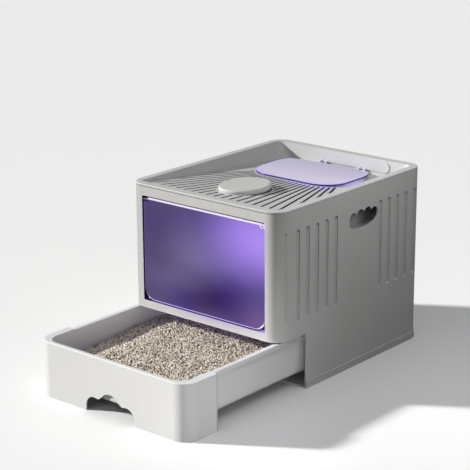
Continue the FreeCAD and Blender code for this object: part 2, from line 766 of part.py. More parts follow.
def lid_outline(inset):
    """Plan outline of the exit lid, drawn in by an inset all round."""
    corner = lid_corner - inset
    shoulder = lid_rear_radius - inset
    side = lid_front_half + corner
    front_edge = lid_front_edge + inset
    rear_edge = lid_rear_edge - inset
    fall = rear_edge - lid_shoulder_line
    rear_half = side - shoulder + root(shoulder * shoulder - fall * fall)
    return [
        (-lid_front_half, front_edge),
        (lid_front_half, front_edge, corner, 1),
        (side, front_edge + corner),
        (side, lid_shoulder_line, shoulder, 1),
        (rear_half, rear_edge),
        (-rear_half, rear_edge, shoulder, 1),
        (-side, lid_shoulder_line),
        (-side, front_edge + corner, corner, 1),
    ]


def lid_bottom():
    """Underside of the lid's flat part above the floor."""
    return floor_height(lid_front_edge) + lid_rise


def lid_fall():
    """Fall of the lid behind its crease, per unit length."""
    return (lid_bottom() + lid_thickness / 2 - hinge_height) / lid_crease


def make_exit_lid():
    """Exit lid: flat plate bent down to its hinge, trimmed to its plan, with two knuckles."""
    body = new_body("exit_lid")
    low = lid_bottom()
    drop = lid_fall() * (lid_crease - lid_rear)
    widest = 2 * (lid_front_half + lid_corner)
    strip = sketch_on(body, "YZ_Plane")
    trace(strip, [
        (lid_front_edge, low),
        (lid_crease_line, low),
        (lid_rear_edge, low - drop),
        (lid_rear_edge, low - drop + lid_thickness),
        (lid_crease_line, low + lid_thickness),
        (lid_front_edge, low + lid_thickness),
    ])
    pad(body, strip, widest, both=True)
    trim = sketch_on(body, "XY_Plane", hinge_height - lid_thickness * 3)
    trace(trim, rectangle(-widest, lid_front_edge - lid_corner, widest, rear))
    trace(trim, lid_outline(0))
    pocket(body, trim, body_height - hinge_height + lid_thickness * 3)
    round_edges(body, lid_thickness / 4, lambda edge: level(edge, low + lid_thickness) and (
        box_of(edge).YMin < float(lid_crease_line) - 0.01))
    for side in (-1, 1):
        start = side * (hinge_spread - knuckle_length) / 2
        knuckle = sketch_on(body, "YZ_Plane", start)
        arm_root = lid_rear_edge - lid_thickness
        drop_here = lid_fall() * (arm_root - lid_crease_line)
        reach = knuckle_radius
        trace(knuckle, [
            (hinge_axis - reach, hinge_height, reach, 1),
            (hinge_axis, hinge_height - reach, reach, 1),
            (hinge_axis + reach, hinge_height, reach, 1),
            (hinge_axis, hinge_height + reach, reach, 1),
        ])
        pad(body, knuckle, knuckle_length, side)
        arm = sketch_on(body, "YZ_Plane", start)
        trace(arm, [
            (arm_root, low - drop_here),
            (hinge_axis - reach / 3, hinge_height - lid_thickness / 2),
            (hinge_axis - reach / 3, hinge_height + lid_thickness / 2),
            (arm_root, low - drop_here + lid_thickness),
        ])
        pad(body, arm, knuckle_length, side)
    bore = sketch_on(body, "YZ_Plane")
    trace_circle(bore, hinge_axis, hinge_height, pivot_radius + pivot_play)
    pocket(body, bore, hinge_spread * 2, both=True)


def make_hinge_plate():
    """Hinge plate: strip on the tray's rear wall with two pairs of lugs for the lid's pins."""
    body = new_body("lid_hinge_plate")
    strip = sketch_on(body, "XZ_Plane", -basin_rear)
    trace(strip, round_rectangle(
        -plate_left, plate_bottom, plate_right, plate_top, plate_end_radius))
    pad(body, strip, plate_thickness)
    for side in (-1, 1):
        for near in (-1, 1):
            middle = side * hinge_spread / 2 + near * (knuckle_length / 2 + lug_gap + lug_width / 2)
            lug = sketch_on(body, "YZ_Plane", middle)
            reach = knuckle_radius
            trace(lug, [
                (hinge_axis - reach, hinge_height, reach, 1),
                (hinge_axis, hinge_height - reach),
                (basin_rear, hinge_height - reach),
                (basin_rear, plate_bottom + lug_foot),
                (basin_rear - plate_thickness, plate_bottom + lug_foot),
                (hinge_axis, hinge_height + reach, reach, 1),
            ])
            pad(body, lug, lug_width, both=True)
    bore = sketch_on(body, "YZ_Plane")
    trace_circle(bore, hinge_axis, hinge_height, pivot_radius)
    pocket(body, bore, hinge_spread * 2, both=True)


def basin_section(body, place, wall):
    """Upright section of the tray's basin at a place along Y, grown by a wall."""
    depth = body_height - floor_height(place)
    top = half_width - rim_width + wall
    foot = top - tray_flare * depth
    low = body_height - depth - wall
    sketch = sketch_on(body, "XZ_Plane", -place)
    return trace(sketch, [(-foot, low), (foot, low), (top, body_height), (-top, body_height)])


def make_tray_shell():
    """Top tray without its slots: rim, sloping basin, locating skirt, lamp well and exit collar."""
    body = document.addObject("PartDesign::Body", "tray_shell")
    half_deep = body_depth / 2
    rim = sketch_on(body, "XY_Plane", rim_under)
    trace(rim, round_rectangle(-half_width, -half_deep, half_width, half_deep, corner_radius))
    pad(body, rim, rim_thickness)
    round_edges(body, rim_round, lambda edge: level(edge, body_height))
    loft(body, "AdditiveLoft", [
        basin_section(body, basin_front - tray_wall, tray_wall),
        basin_section(body, basin_rear + tray_wall, tray_wall),
    ])
    skirt = sketch_on(body, "XY_Plane", rim_under - skirt_height)
    for inset in (panel_wall + fit_gap, panel_wall + fit_gap + skirt_wall):
        trace(skirt, round_rectangle(
            inset - half_width, inset - half_deep, half_width - inset, half_deep - inset,
            corner_radius - inset))
    pad(body, skirt, skirt_height)
    cap_y = front + cap_place
    well = sketch_on(body, "XY_Plane", module_seat - seat_thickness)
    outer = cap_play + tray_wall
    trace(well, cap_oval(outer))
    pad(body, well, floor_height(cap_y) - module_seat + seat_thickness)
    document.recompute()
    loft(body, "SubtractiveLoft", [
        basin_section(body, basin_front, 0),
        basin_section(body, basin_rear, 0),
    ])
    rear_corner = float(basin_rear)
    round_edges(body, tray_corner, lambda edge: (
        abs(box_of(edge).YMax - rear_corner) < 0.01 and box_of(edge).YLength < 0.01
        and box_of(edge).ZLength > float(tray_front_depth) * 2
        and box_of(edge).ZMax > float(body_height) - 0.01))
    collar = sketch_on(body, "XY_Plane", collar_bottom)
    trace(collar, lid_outline(collar_inset))
    pad(body, collar, lid_bottom() - fit_gap - collar_bottom)
    under = sketch_on(body, "YZ_Plane")
    crease = lid_crease_line
    tail = rear - rim_rear_width - plate_thickness
    clear = 2 * fit_gap
    trace(under, [
        (crease, lid_bottom() - clear),
        (tail, lid_bottom() - clear - lid_fall() * (tail - crease)),
        (tail, lid_bottom()),
        (crease, lid_bottom()),
    ])
    pocket(body, under, 2 * (lid_front_half + lid_corner), both=True)
    hole = sketch_on(body, "XY_Plane", collar_bottom)
    trace(hole, lid_outline(collar_inset + collar_wall))
    pocket(body, hole, body_height - collar_bottom)
    deep = sketch_on(body, "XY_Plane", module_seat)
    trace(deep, cap_oval(cap_play))
    pocket(body, deep, body_height - module_seat)
    seat = sketch_on(body, "XY_Plane", module_seat - seat_thickness)
    trace(seat, cap_oval(cap_play - seat_width))
    pocket(body, seat, seat_thickness)
    return body


def cap_oval(grow):
    """Plan outline of the oval cap, grown all round."""
    return oval(cap_width / 2 + grow, cap_length / 2 + grow, cap_end_radius + grow, 0, front + cap_place)


def make_slot_field():
    """Region of the tray floor that carries slots: foot outline drawn in, less the cap and the lid."""
    body = document.addObject("PartDesign::Body", "slot_field")
    start = basin_front + slot_front
    stop = lid_shoulder_line
    half_start = half_width - rim_width - tray_flare * (body_height - floor_height(start)) - slot_side
    half_stop = half_width - rim_width - tray_flare * (body_height - floor_height(stop)) - slot_side
    field = sketch_on(body, "XY_Plane", collar_bottom)
    trace(field, [(-half_start, start), (half_start, start), (half_stop, stop), (-half_stop, stop)])
    pad(body, field, body_height - collar_bottom)
    around = sketch_on(body, "XY_Plane", collar_bottom)
    trace(around, cap_oval(cap_play + tray_wall + slot_cap_margin))
    pocket(body, around, body_height - collar_bottom)
    beside = sketch_on(body, "XY_Plane", collar_bottom)
    trace(beside, lid_outline(-slot_margin))
    pocket(body, beside, body_height - collar_bottom)
    return body


def make_top_tray():
    """Top tray: the shell with its fan of slots, each a blade turned about one point behind the tray."""
    shell = make_tray_shell()
    field = make_slot_field()
    blades = []
    for number in range(-slots_each_side, slots_each_side + 1):
        blade = document.addObject("Part::Box", "slot_blade")
        bind(blade, "Length", slot_width)
        bind(blade, "Width", body_depth)
        bind(blade, "Height", body_height - collar_bottom)
        bind(blade, "Placement.Base.x", -slot_width / 2)
        bind(blade, "Placement.Base.y", -body_depth - slot_start)
        turned = document.addObject("Part::Compound", "slot")
        turned.Links = [blade]
        about_z = FreeCAD.Rotation(FreeCAD.Vector(0, 0, 1), float(slot_angle))
        turned.Placement = FreeCAD.Placement(FreeCAD.Vector(0, 0, 0), about_z)
        bind(turned, "Placement.Rotation.Angle", number * slot_angle)
        bind(turned, "Placement.Base.y", rear + slot_centre)
        bind(turned, "Placement.Base.z", collar_bottom)
        blades.append(turned)
    fan = document.addObject("Part::Compound", "slot_fan")
    fan.Links = blades
    trimmed = document.addObject("Part::Common", "slot_cutter")
    trimmed.Base = fan
    trimmed.Tool = field
    tray = document.addObject("Part::Cut", "top_tray")
    tray.Base = shell
    tray.Tool = trimmed
    nodes["top_tray"] = tray


def make_front_door():
    """Swing door: clear sheet with rounded lower corners and a knuckle at each upper corner."""
    body = new_body("front_door")
    face = front + door_setback
    sheet_plan = sketch_on(body, "XZ_Plane", -face)
    trace(sheet_plan, round_rectangle(
        -door_half, opening_bottom + door_gap, door_half, door_top, door_radius, door_gap))
    pad(body, sheet_plan, door_thickness, -1)
    for side in (-1, 1):
        knuckle = sketch_on(body, "YZ_Plane", side * door_half)
        trace_circle(knuckle, door_axis_place, door_axis_height, door_knuckle_radius)
        pad(body, knuckle, door_knuckle_length, -side)
        bore = sketch_on(body, "YZ_Plane", side * door_half)
        trace_circle(bore, door_axis_place, door_axis_height, pivot_radius + pivot_play)
        pocket(body, bore, door_knuckle_length + fit_gap, -side)


def cylinder(name, radius, length, place, axis):
    """Part cylinder along X, Y or Z from a place."""
    item = document.addObject("Part::Cylinder", name)
    bind(item, "Radius", radius)
    bind(item, "Height", length)
    turns = {
        "x": FreeCAD.Rotation(FreeCAD.Vector(0, 1, 0), 90),
        "y": FreeCAD.Rotation(FreeCAD.Vector(1, 0, 0), -90),
        "z": FreeCAD.Rotation(),
    }
    item.Placement = FreeCAD.Placement(FreeCAD.Vector(0, 0, 0), turns[axis])
    for letter, number in zip("xyz", place):
        bind(item, f"Placement.Base.{letter}", number)
    return item


def group(name, items):
    """One node made of separate solids."""
    item = document.addObject("Part::Compound", name)
    item.Links = items
    nodes[name] = item
    return item


def make_pins():
    """Pivot pins of the door and of the lid."""
    door_pins = []
    lid_pins = []
    door_pin_length = door_knuckle_length + door_gap + jamb_wall - fit_gap
    lid_pin_length = knuckle_length + 2 * (lug_gap + lug_width)
    for side in (-1, 1):
        start = opening_width / 2 + jamb_wall - door_pin_length
        start = start if side > 0 else -(opening_width / 2 + jamb_wall)
        door_pins.append(cylinder("door_pin", pivot_radius, door_pin_length,
                                  (start, door_axis_place, door_axis_height), "x"))
        middle = side * hinge_spread / 2
        lid_pins.append(cylinder("lid_pin", pivot_radius, lid_pin_length,
                                 (middle - lid_pin_length / 2, hinge_axis, hinge_height), "x"))
    group("door_pivot_pins", door_pins)
    group("lid_hinge_pins", lid_pins)


def screw(length, place, axis, sense):
    """Screw with a flat round head; its head's underside is at the place and its shank points along sense."""
    letter = "xyz".index(axis)
    shank_place = list(place)
    head_place = list(place)
    if sense > 0:
        head_place[letter] = place[letter] - head_height
    else:
        shank_place[letter] = place[letter] - length
    shank = cylinder("screw_shank", screw_radius, length, shank_place, axis)
    head = cylinder("screw_head", head_radius, head_height, head_place, axis)
    whole = document.addObject("Part::Fuse", "screw")
    whole.Base = shank
    whole.Tool = head
    return whole


def make_screws():
    """Screws of the base plate, the rails and the drawer front."""
    base = []
    rails = []
    inner = half_width - panel_wall
    for side in (-1, 1):
        for place in base_screw_places():
            base.append(screw(base_screw_length + base_floor - head_height,
                              (side * (inner - boss_inset), place, head_height), "z", 1))
        for place in rail_screw_places():
            rails.append(screw(rail_screw_length, (side * (web_face() + head_height), place, rail_middle()),
                               "x", side))
    group("base_screws", base)
    group("rail_screws", rails)
    fronts = []
    for across in front_screw_places():
        fronts.append(screw(front_screw_length, (across, front_screw_seat() - drawer_out, front_screw_height),
                            "y", -1))
    group("drawer_front_screws", fronts)


def front_screw_places():
    """X of the four screws that hold the drawer front to the litter tray."""
    return [-front_screw_spread, -front_screw_spread / 3, front_screw_spread / 3, front_screw_spread]


def front_screw_seat():
    """Y of the seat that the drawer front's screw heads rest on, with the drawer shut."""
    return front + tray_inset + litter_wall + 2 * head_height


def pull_outline():
    """Pull cut-out in the drawer front's lower edge: two shoulders and a round hump between them."""
    steps = []
    for across, up, radius, turn in pull_shape:
        point = (across * pull_half, up * pull_top) if up else (across * pull_half, -drawer_foot)
        steps.append(point + ((radius * pull_half, turn) if radius else ()))
    return steps


def make_drawer_front():
    """Drawer front: U-shaped moulding with a top flange over the tray's lip and a pull cut-out."""
    body = new_body("drawer_front")
    half = drawer_width / 2
    back = front + drawer_return

    def plan(inset, lead, stop, radius):
        """U-shaped plan drawn in at the sides by an inset and in front by a lead."""
        return [
            (inset - half, stop),
            (inset - half, front + lead + radius, radius, 1),
            (inset - half + radius, front + lead),
            (half - inset - radius, front + lead, radius, 1),
            (half - inset, front + lead + radius),
            (half - inset, stop),
        ]

    outer = sketch_on(body, "XY_Plane", drawer_foot)
    trace(outer, plan(0, 0, back, corner_radius))
    pad(body, outer, drawer_top - drawer_foot)
    round_edges(body, front_round, lambda edge: level(edge, drawer_top) and (
        box_of(edge).YMin < float(back) - 0.5))
    hollow = sketch_on(body, "XY_Plane", drawer_foot)
    trace(hollow, plan(front_wall, front_wall, back + front_wall, corner_radius - front_wall))
    pocket(body, hollow, drawer_top - front_cap - drawer_foot)
    mouth = sketch_on(body, "XY_Plane", drawer_top - 2 * front_cap)
    side_edge = half - tray_half_top + litter_wall
    trace(mouth, plan(side_edge, tray_inset + litter_wall, back + front_wall, tray_plan_radius - litter_wall))
    pocket(body, mouth, 3 * front_cap)
    bosses = sketch_on(body, "XZ_Plane", -(front + front_wall / 2))
    holes = sketch_on(body, "XZ_Plane", -(front + front_wall / 2))
    for across in front_screw_places():
        trace_circle(bosses, across, front_screw_height, boss_radius)
        trace_circle(holes, across, front_screw_height, screw_radius)
    pad(body, bosses, tray_inset - front_wall / 2, -1)
    pocket(body, holes, tray_inset, -1)
    pull = sketch_on(body, "XZ_Plane", -(front - front_wall))
    trace(pull, pull_outline())
    pocket(body, pull, 3 * front_wall, -1)
    bind(body, "Placement.Base.y", -drawer_out)


def tray_plan(sketch, half, lead, radius):
    """Plan outline of the litter tray, drawn in at the front and rear by a lead."""
    start = front + tray_inset + lead
    stop = front + tray_inset + tray_length - lead
    return trace(sketch, round_rectangle(-half, start, half, stop, radius))


def tray_rings(body, inset, bottom, foot):
    """Sections of the litter tray drawn in by an inset: a quarter round foot, then the tapered wall."""
    taper = tray_taper
    rings = []
    for degrees in foot_steps:
        lead = inset + foot * (1 - math.sin(math.radians(degrees)))
        height = bottom + foot * (1 - math.cos(math.radians(degrees)))
        sketch = sketch_on(body, "XY_Plane", height)
        rings.append(tray_plan(sketch, tray_half_bottom - lead, taper + lead, tray_plan_radius - taper - lead))
    mouth = sketch_on(body, "XY_Plane", lip_top())
    rings.append(tray_plan(mouth, tray_half_top - inset, inset, tray_plan_radius - inset))
    return rings


def make_litter_tray():
    """Litter tray: tapered tub with a rounded foot and a turned-down lip all round."""
    body = new_body("drawer_tray")
    loft(body, "AdditiveLoft", tray_rings(body, 0, tray_bottom, tray_foot_round))
    lip = sketch_on(body, "XY_Plane", lip_top() - lip_drop)
    spread = lip_half - tray_half_top
    ahead = tray_inset - front_wall - fit_gap
    for inset in (0, 1):
        half = lip_half - inset * lip_wall
        start = front + tray_inset - ahead + inset * lip_wall
        stop = front + tray_inset + tray_length + spread - inset * lip_wall
        trace(lip, round_rectangle(-half, start, half, stop,
                                   tray_plan_radius + ahead - inset * lip_wall))
    pad(body, lip, lip_drop)
    deck = sketch_on(body, "XY_Plane", lip_top() - lip_wall)
    trace(deck, round_rectangle(-lip_half + lip_wall / 2, front + tray_inset - ahead + lip_wall / 2,
                                lip_half - lip_wall / 2,
                                front + tray_inset + tray_length + spread - lip_wall / 2,
                                tray_plan_radius + ahead - lip_wall / 2))
    pad(body, deck, lip_wall)
    document.recompute()
    foot = tray_foot_round - litter_wall
    loft(body, "SubtractiveLoft", tray_rings(body, litter_wall, tray_bottom + litter_wall, foot))
    holes = sketch_on(body, "XZ_Plane", -front)
    bosses = sketch_on(body, "XZ_Plane", -front_screw_seat())
    for across in front_screw_places():
        trace_circle(holes, across, front_screw_height, screw_radius)
        trace_circle(bosses, across, front_screw_height, boss_radius)
    pad(body, bosses, 2 * head_height + litter_wall / 2)
    pocket(body, holes, 4 * tray_inset, -1)
    bind(body, "Placement.Base.y", -drawer_out)


def make_litter():
    """Litter: level at the walls, heaped towards the middle of the tray."""
    body = new_body("litter_bed")
    clear = litter_wall + fit_gap
    rings = tray_rings(body, clear, tray_bottom + clear, tray_foot_round - litter_wall)
    share = (litter_edge - tray_bottom) / (lip_top() - tray_bottom)
    taper = tray_taper
    heap = (
        (litter_edge, 0),
        (litter_edge + (litter_crown - litter_edge) * shoulder_rise, litter_slope * shoulder_share),
        (litter_crown, litter_slope),
    )
    plans = rings[:-1]
    for height, lead in heap:
        sketch = sketch_on(body, "XY_Plane", height)
        inset = clear - taper * share + lead
        plans.append(tray_plan(sketch, tray_half_bottom - inset, taper + inset, tray_plan_radius - clear))
    body.removeObject(rings[-1])
    document.removeObject(rings[-1].Name)
    loft(body, "AdditiveLoft", plans)
    pockets = sketch_on(body, "XZ_Plane", -(front + tray_inset))
    for across in front_screw_places():
        trace_circle(pockets, across, front_screw_height, boss_radius + fit_gap)
    pocket(body, pockets, litter_wall + 3 * head_height, -1)
    bind(body, "Placement.Base.y", -drawer_out)


def make_lamp_cap():
    """Oval cap with a rounded top edge and a locating rib that sits in the lamp housing."""
    body = new_body("lamp_cap")
    low = cap_top - cap_thickness
    plan = sketch_on(body, "XY_Plane", low)
    trace(plan, cap_oval(0))
    pad(body, plan, cap_thickness)
    round_edges(body, cap_round, lambda edge: level(edge, cap_top))
    under = sketch_on(body, "XY_Plane", low)
    trace(under, cap_oval(-2 * module_wall))
    pocket(body, under, cap_thickness - module_wall)
    rib = sketch_on(body, "XY_Plane", low - 2 * module_wall)
    trace(rib, cap_oval(-module_wall - fit_gap))
    trace(rib, cap_oval(-2 * module_wall - fit_gap))
    pad(body, rib, 2 * module_wall + cap_thickness / 2)


def make_lamp_housing():
    """Lamp housing: oval cup with a lens hole, board posts and a charging socket window."""
    body = new_body("lamp_housing")
    tall = cap_top - cap_thickness - module_seat
    shell = sketch_on(body, "XY_Plane", module_seat)
    trace(shell, cap_oval(0))
    pad(body, shell, tall)
    inside = sketch_on(body, "XY_Plane", module_seat + module_wall)
    trace(inside, cap_oval(-module_wall))
    pocket(body, inside, tall)
    posts = sketch_on(body, "XY_Plane", module_seat + module_wall / 2)
    for x, y in post_places():
        trace_circle(posts, x, y, post_radius)
    pad(body, posts, board_height + module_wall / 2)
    lens_hole = sketch_on(body, "XY_Plane", module_seat)
    trace_circle(lens_hole, 0, front + cap_place, lens_radius)
    pocket(body, lens_hole, module_wall)
    window = sketch_on(body, "XZ_Plane", -(front + cap_place + cap_length / 2 - 3 * module_wall))
    half = socket_width / 2 + fit_gap
    trace(window, rectangle(-half, socket_bottom() - fit_gap, half, socket_bottom() + socket_height + fit_gap))
    pocket(body, window, 4 * module_wall, -1)


def socket_bottom():
    """Underside of the charging socket, on top of the board."""
    return module_seat + module_wall + board_height + board_thickness


def post_places():
    """Plan places of the four posts under the board."""
    x = board_width / 2 - 2 * post_radius
    y = board_length / 2 - 2 * post_radius
    middle = front + cap_place
    return [(sx * x, middle + sy * y) for sx in (-1, 1) for sy in (-1, 1)]


def make_lamp_inside():
    """Lens, circuit board, lamp chips, battery and charging socket."""
    middle = front + cap_place
    lens = new_body("lamp_lens")
    disc = sketch_on(lens, "XY_Plane", module_seat - lens_thickness / 3)
    trace_circle(disc, 0, middle, lens_radius - fit_gap / 3)
    pad(lens, disc, lens_thickness)
    ring = sketch_on(lens, "XY_Plane", module_seat + module_wall)
    trace_circle(ring, 0, middle, lens_radius + 2 * module_wall)
    pad(lens, ring, module_wall / 2)
    board = new_body("lamp_board")
    plan = sketch_on(board, "XY_Plane", module_seat + module_wall + board_height)
    trace(plan, round_rectangle(
        -board_width / 2, middle - board_length / 2, board_width / 2, middle + board_length / 2, post_radius))
    pad(board, plan, board_thickness)
    chips = []
    for x_step in (-1, 0, 1):
        for y_step in (-1, 0, 1):
            chip = document.addObject("Part::Box", "lamp_chip")
            for name, number in (("Length", led_side), ("Width", led_side), ("Height", led_height)):
                bind(chip, name, number)
            bind(chip, "Placement.Base.x", x_step * 3 * led_side - led_side / 2)
            bind(chip, "Placement.Base.y", middle + y_step * 3 * led_side - led_side / 2)
            bind(chip, "Placement.Base.z", module_seat + module_wall + board_height - led_height)
            chips.append(chip)
    group("lamp_chips", chips)
    top = socket_bottom()
    cell = cylinder("lamp_battery", battery_radius, battery_length,
                    (0, middle - battery_length / 2 - socket_length, top + battery_radius), "y")
    nodes["lamp_battery"] = cell
    socket = new_body("charging_socket")
    face = middle + cap_length / 2
    half = socket_width / 2
    shell = sketch_on(socket, "XZ_Plane", -face)
    trace(shell, round_rectangle(-half, top, half, top + socket_height, socket_height / 3))
    pad(socket, shell, face - middle - board_length / 2 + socket_length)
    mouth = sketch_on(socket, "XZ_Plane", -face)
    wall = socket_height / 8
    trace(mouth, round_rectangle(-half + wall, top + wall, half - wall, top + socket_height - wall,
                                 socket_height / 3 - wall))
    pocket(socket, mouth, socket_length)


make_base_plate()
make_side_panel("side_panel_left", -1)
make_side_panel("side_panel_right", 1)
make_rear_panel()
make_front_frame()
make_top_tray()
make_handle_cup("handle_cup_left", -1)
make_handle_cup("handle_cup_right", 1)
make_drawer_rail("drawer_rail_left", -1)
make_drawer_rail("drawer_rail_right", 1)
make_front_door()
make_hinge_plate()
make_exit_lid()
make_pins()
make_litter_tray()
make_drawer_front()
make_litter()
make_lamp_cap()
make_lamp_housing()
make_lamp_inside()
make_screws()
document.recompute()

# Every object has to be sound, and every cut has to remove material, before anything is written
for item in document.Objects:
    if "Invalid" in item.State or "Error" in item.State:
        raise RuntimeError(f"{item.Name} failed: {item.State}")
for cut in cuts:
    if cut.BaseFeature.Shape.Volume - cut.Shape.Volume < 0.1:
        raise RuntimeError(f"{cut.Name} removes nothing")
for name, item in nodes.items():
    if item.Shape.isNull() or not item.Shape.isValid():
        raise RuntimeError(f"{name} has no valid shape")

os.makedirs("parts", exist_ok=True)
for name, item in nodes.items():
    item.Label = name
    item.Shape.exportStep(f"parts/{name}.step")
    box = item.Shape.BoundBox
    print(f"{name}: {len(item.Shape.Solids)} solids, {item.Shape.Volume / 1000:.1f} cm3, "
          f"x {box.XMin:.1f} {box.XMax:.1f}, y {box.YMin:.1f} {box.YMax:.1f}, z {box.ZMin:.1f} {box.ZMax:.1f}")
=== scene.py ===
"""Looks of a litter box with a pull-out drawer, a swing door, a top tray with a lid and a lamp module."""

import bpy
import math
import random
import numpy as np
from mathutils import Matrix, Vector, noise


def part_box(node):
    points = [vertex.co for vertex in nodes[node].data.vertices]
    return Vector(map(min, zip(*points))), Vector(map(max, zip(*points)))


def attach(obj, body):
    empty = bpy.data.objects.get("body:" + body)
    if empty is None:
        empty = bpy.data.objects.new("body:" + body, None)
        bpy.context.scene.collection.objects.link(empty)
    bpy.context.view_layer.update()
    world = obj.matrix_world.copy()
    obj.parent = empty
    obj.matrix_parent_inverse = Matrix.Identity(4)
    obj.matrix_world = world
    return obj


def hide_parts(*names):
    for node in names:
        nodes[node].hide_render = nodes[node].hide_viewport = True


MM = 0.001

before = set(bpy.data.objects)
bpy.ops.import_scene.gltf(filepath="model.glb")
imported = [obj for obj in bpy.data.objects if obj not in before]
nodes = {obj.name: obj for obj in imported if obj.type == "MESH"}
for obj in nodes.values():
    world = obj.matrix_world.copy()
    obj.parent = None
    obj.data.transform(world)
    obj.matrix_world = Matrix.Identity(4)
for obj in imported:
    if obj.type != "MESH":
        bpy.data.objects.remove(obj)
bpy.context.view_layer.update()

# Camera, found from the straight edges in the photograph's 470 by 470 frame
PHOTO_SIZE = 470
FOCAL_PIXELS = 1606.27
SENSOR = 36.0
CLIP_END = 100.0
CAMERA_PLACE = Vector((2.10911, -2.63572, 1.27752))
CAMERA_YAW = math.radians(40.30)
CAMERA_PITCH = math.radians(16.8216)
CAMERA_ROLL = math.radians(-0.283)

# Key light, low from the left front
SUN_TOWARDS = Vector((-0.77, -0.49, 0.405))
SUN_STRENGTH = 4.7
SUN_ANGLE = math.radians(4.0)
SUN_COLOUR = (1.0, 0.985, 0.96)

# Soft lights: name, place, point that it faces, size, power and spread
SOFT_LIGHTS = (
    ("fill_light", (0.60, -0.02, 0.72), (0.20, 0.02, 0.30), 0.40, 1.15, math.pi),
    ("low_light", (0.78, -0.80, 0.15), (0.20, -0.39, 0.07), 0.20, 0.15, math.radians(44.0)),
    ("front_light", (-0.20, -2.30, 0.75), (0.0, -0.30, 0.25), 0.80, 2.10, math.pi),
    ("cabin_glow", (0.0, -0.115, 0.345), (0.0, -0.200, 0.10), 0.05, 0.05, math.pi),
)
GLOW_COLOUR = (0.45, 0.28, 1.0)

# Sky that lights the object, the backdrop that the camera sees, and the floor
SKY_COLOUR = (0.96, 0.97, 1.0)
SKY_HORIZON = 0.10
SKY_ZENITH = 0.39
BACKDROP_COLOUR = (0.80, 0.80, 0.80)
STUDIO_SIZE = 60.0
STUDIO_COLOUR = (0.94, 0.94, 0.94)
STUDIO_BOUNCE = (0.15, 0.145, 0.14)


def linear(text):
    """Linear colour of a six-digit display colour."""
    parts = [int(text[place:place + 2], 16) / 255 for place in (0, 2, 4)]
    return tuple(p / 12.92 if p <= 0.04045 else ((p + 0.055) / 1.055) ** 2.4 for p in parts)


def put(name, data):
    """New object of the given data in the scene."""
    item = bpy.data.objects.new(name, data)
    bpy.context.scene.collection.objects.link(item)
    return item


def make_camera():
    """Camera at the photograph's place, turn and framing."""
    back = Vector((
        math.sin(CAMERA_YAW) * math.cos(CAMERA_PITCH),
        -math.cos(CAMERA_YAW) * math.cos(CAMERA_PITCH),
        math.sin(CAMERA_PITCH),
    ))
    right = Vector((math.cos(CAMERA_YAW), math.sin(CAMERA_YAW), 0.0))
    up = back.cross(right)
    across = right * math.cos(CAMERA_ROLL) + up * math.sin(CAMERA_ROLL)
    upward = up * math.cos(CAMERA_ROLL) - right * math.sin(CAMERA_ROLL)
    data = bpy.data.cameras.new("photo_camera")
    data.sensor_width = SENSOR
    data.sensor_height = SENSOR
    data.sensor_fit = "HORIZONTAL"
    data.lens = SENSOR * FOCAL_PIXELS / PHOTO_SIZE
    data.clip_end = CLIP_END
    camera = put("photo_camera", data)
    turn = Matrix((across, upward, back)).transposed()
    camera.matrix_world = Matrix.Translation(CAMERA_PLACE) @ turn.to_4x4()
    bpy.context.scene.camera = camera


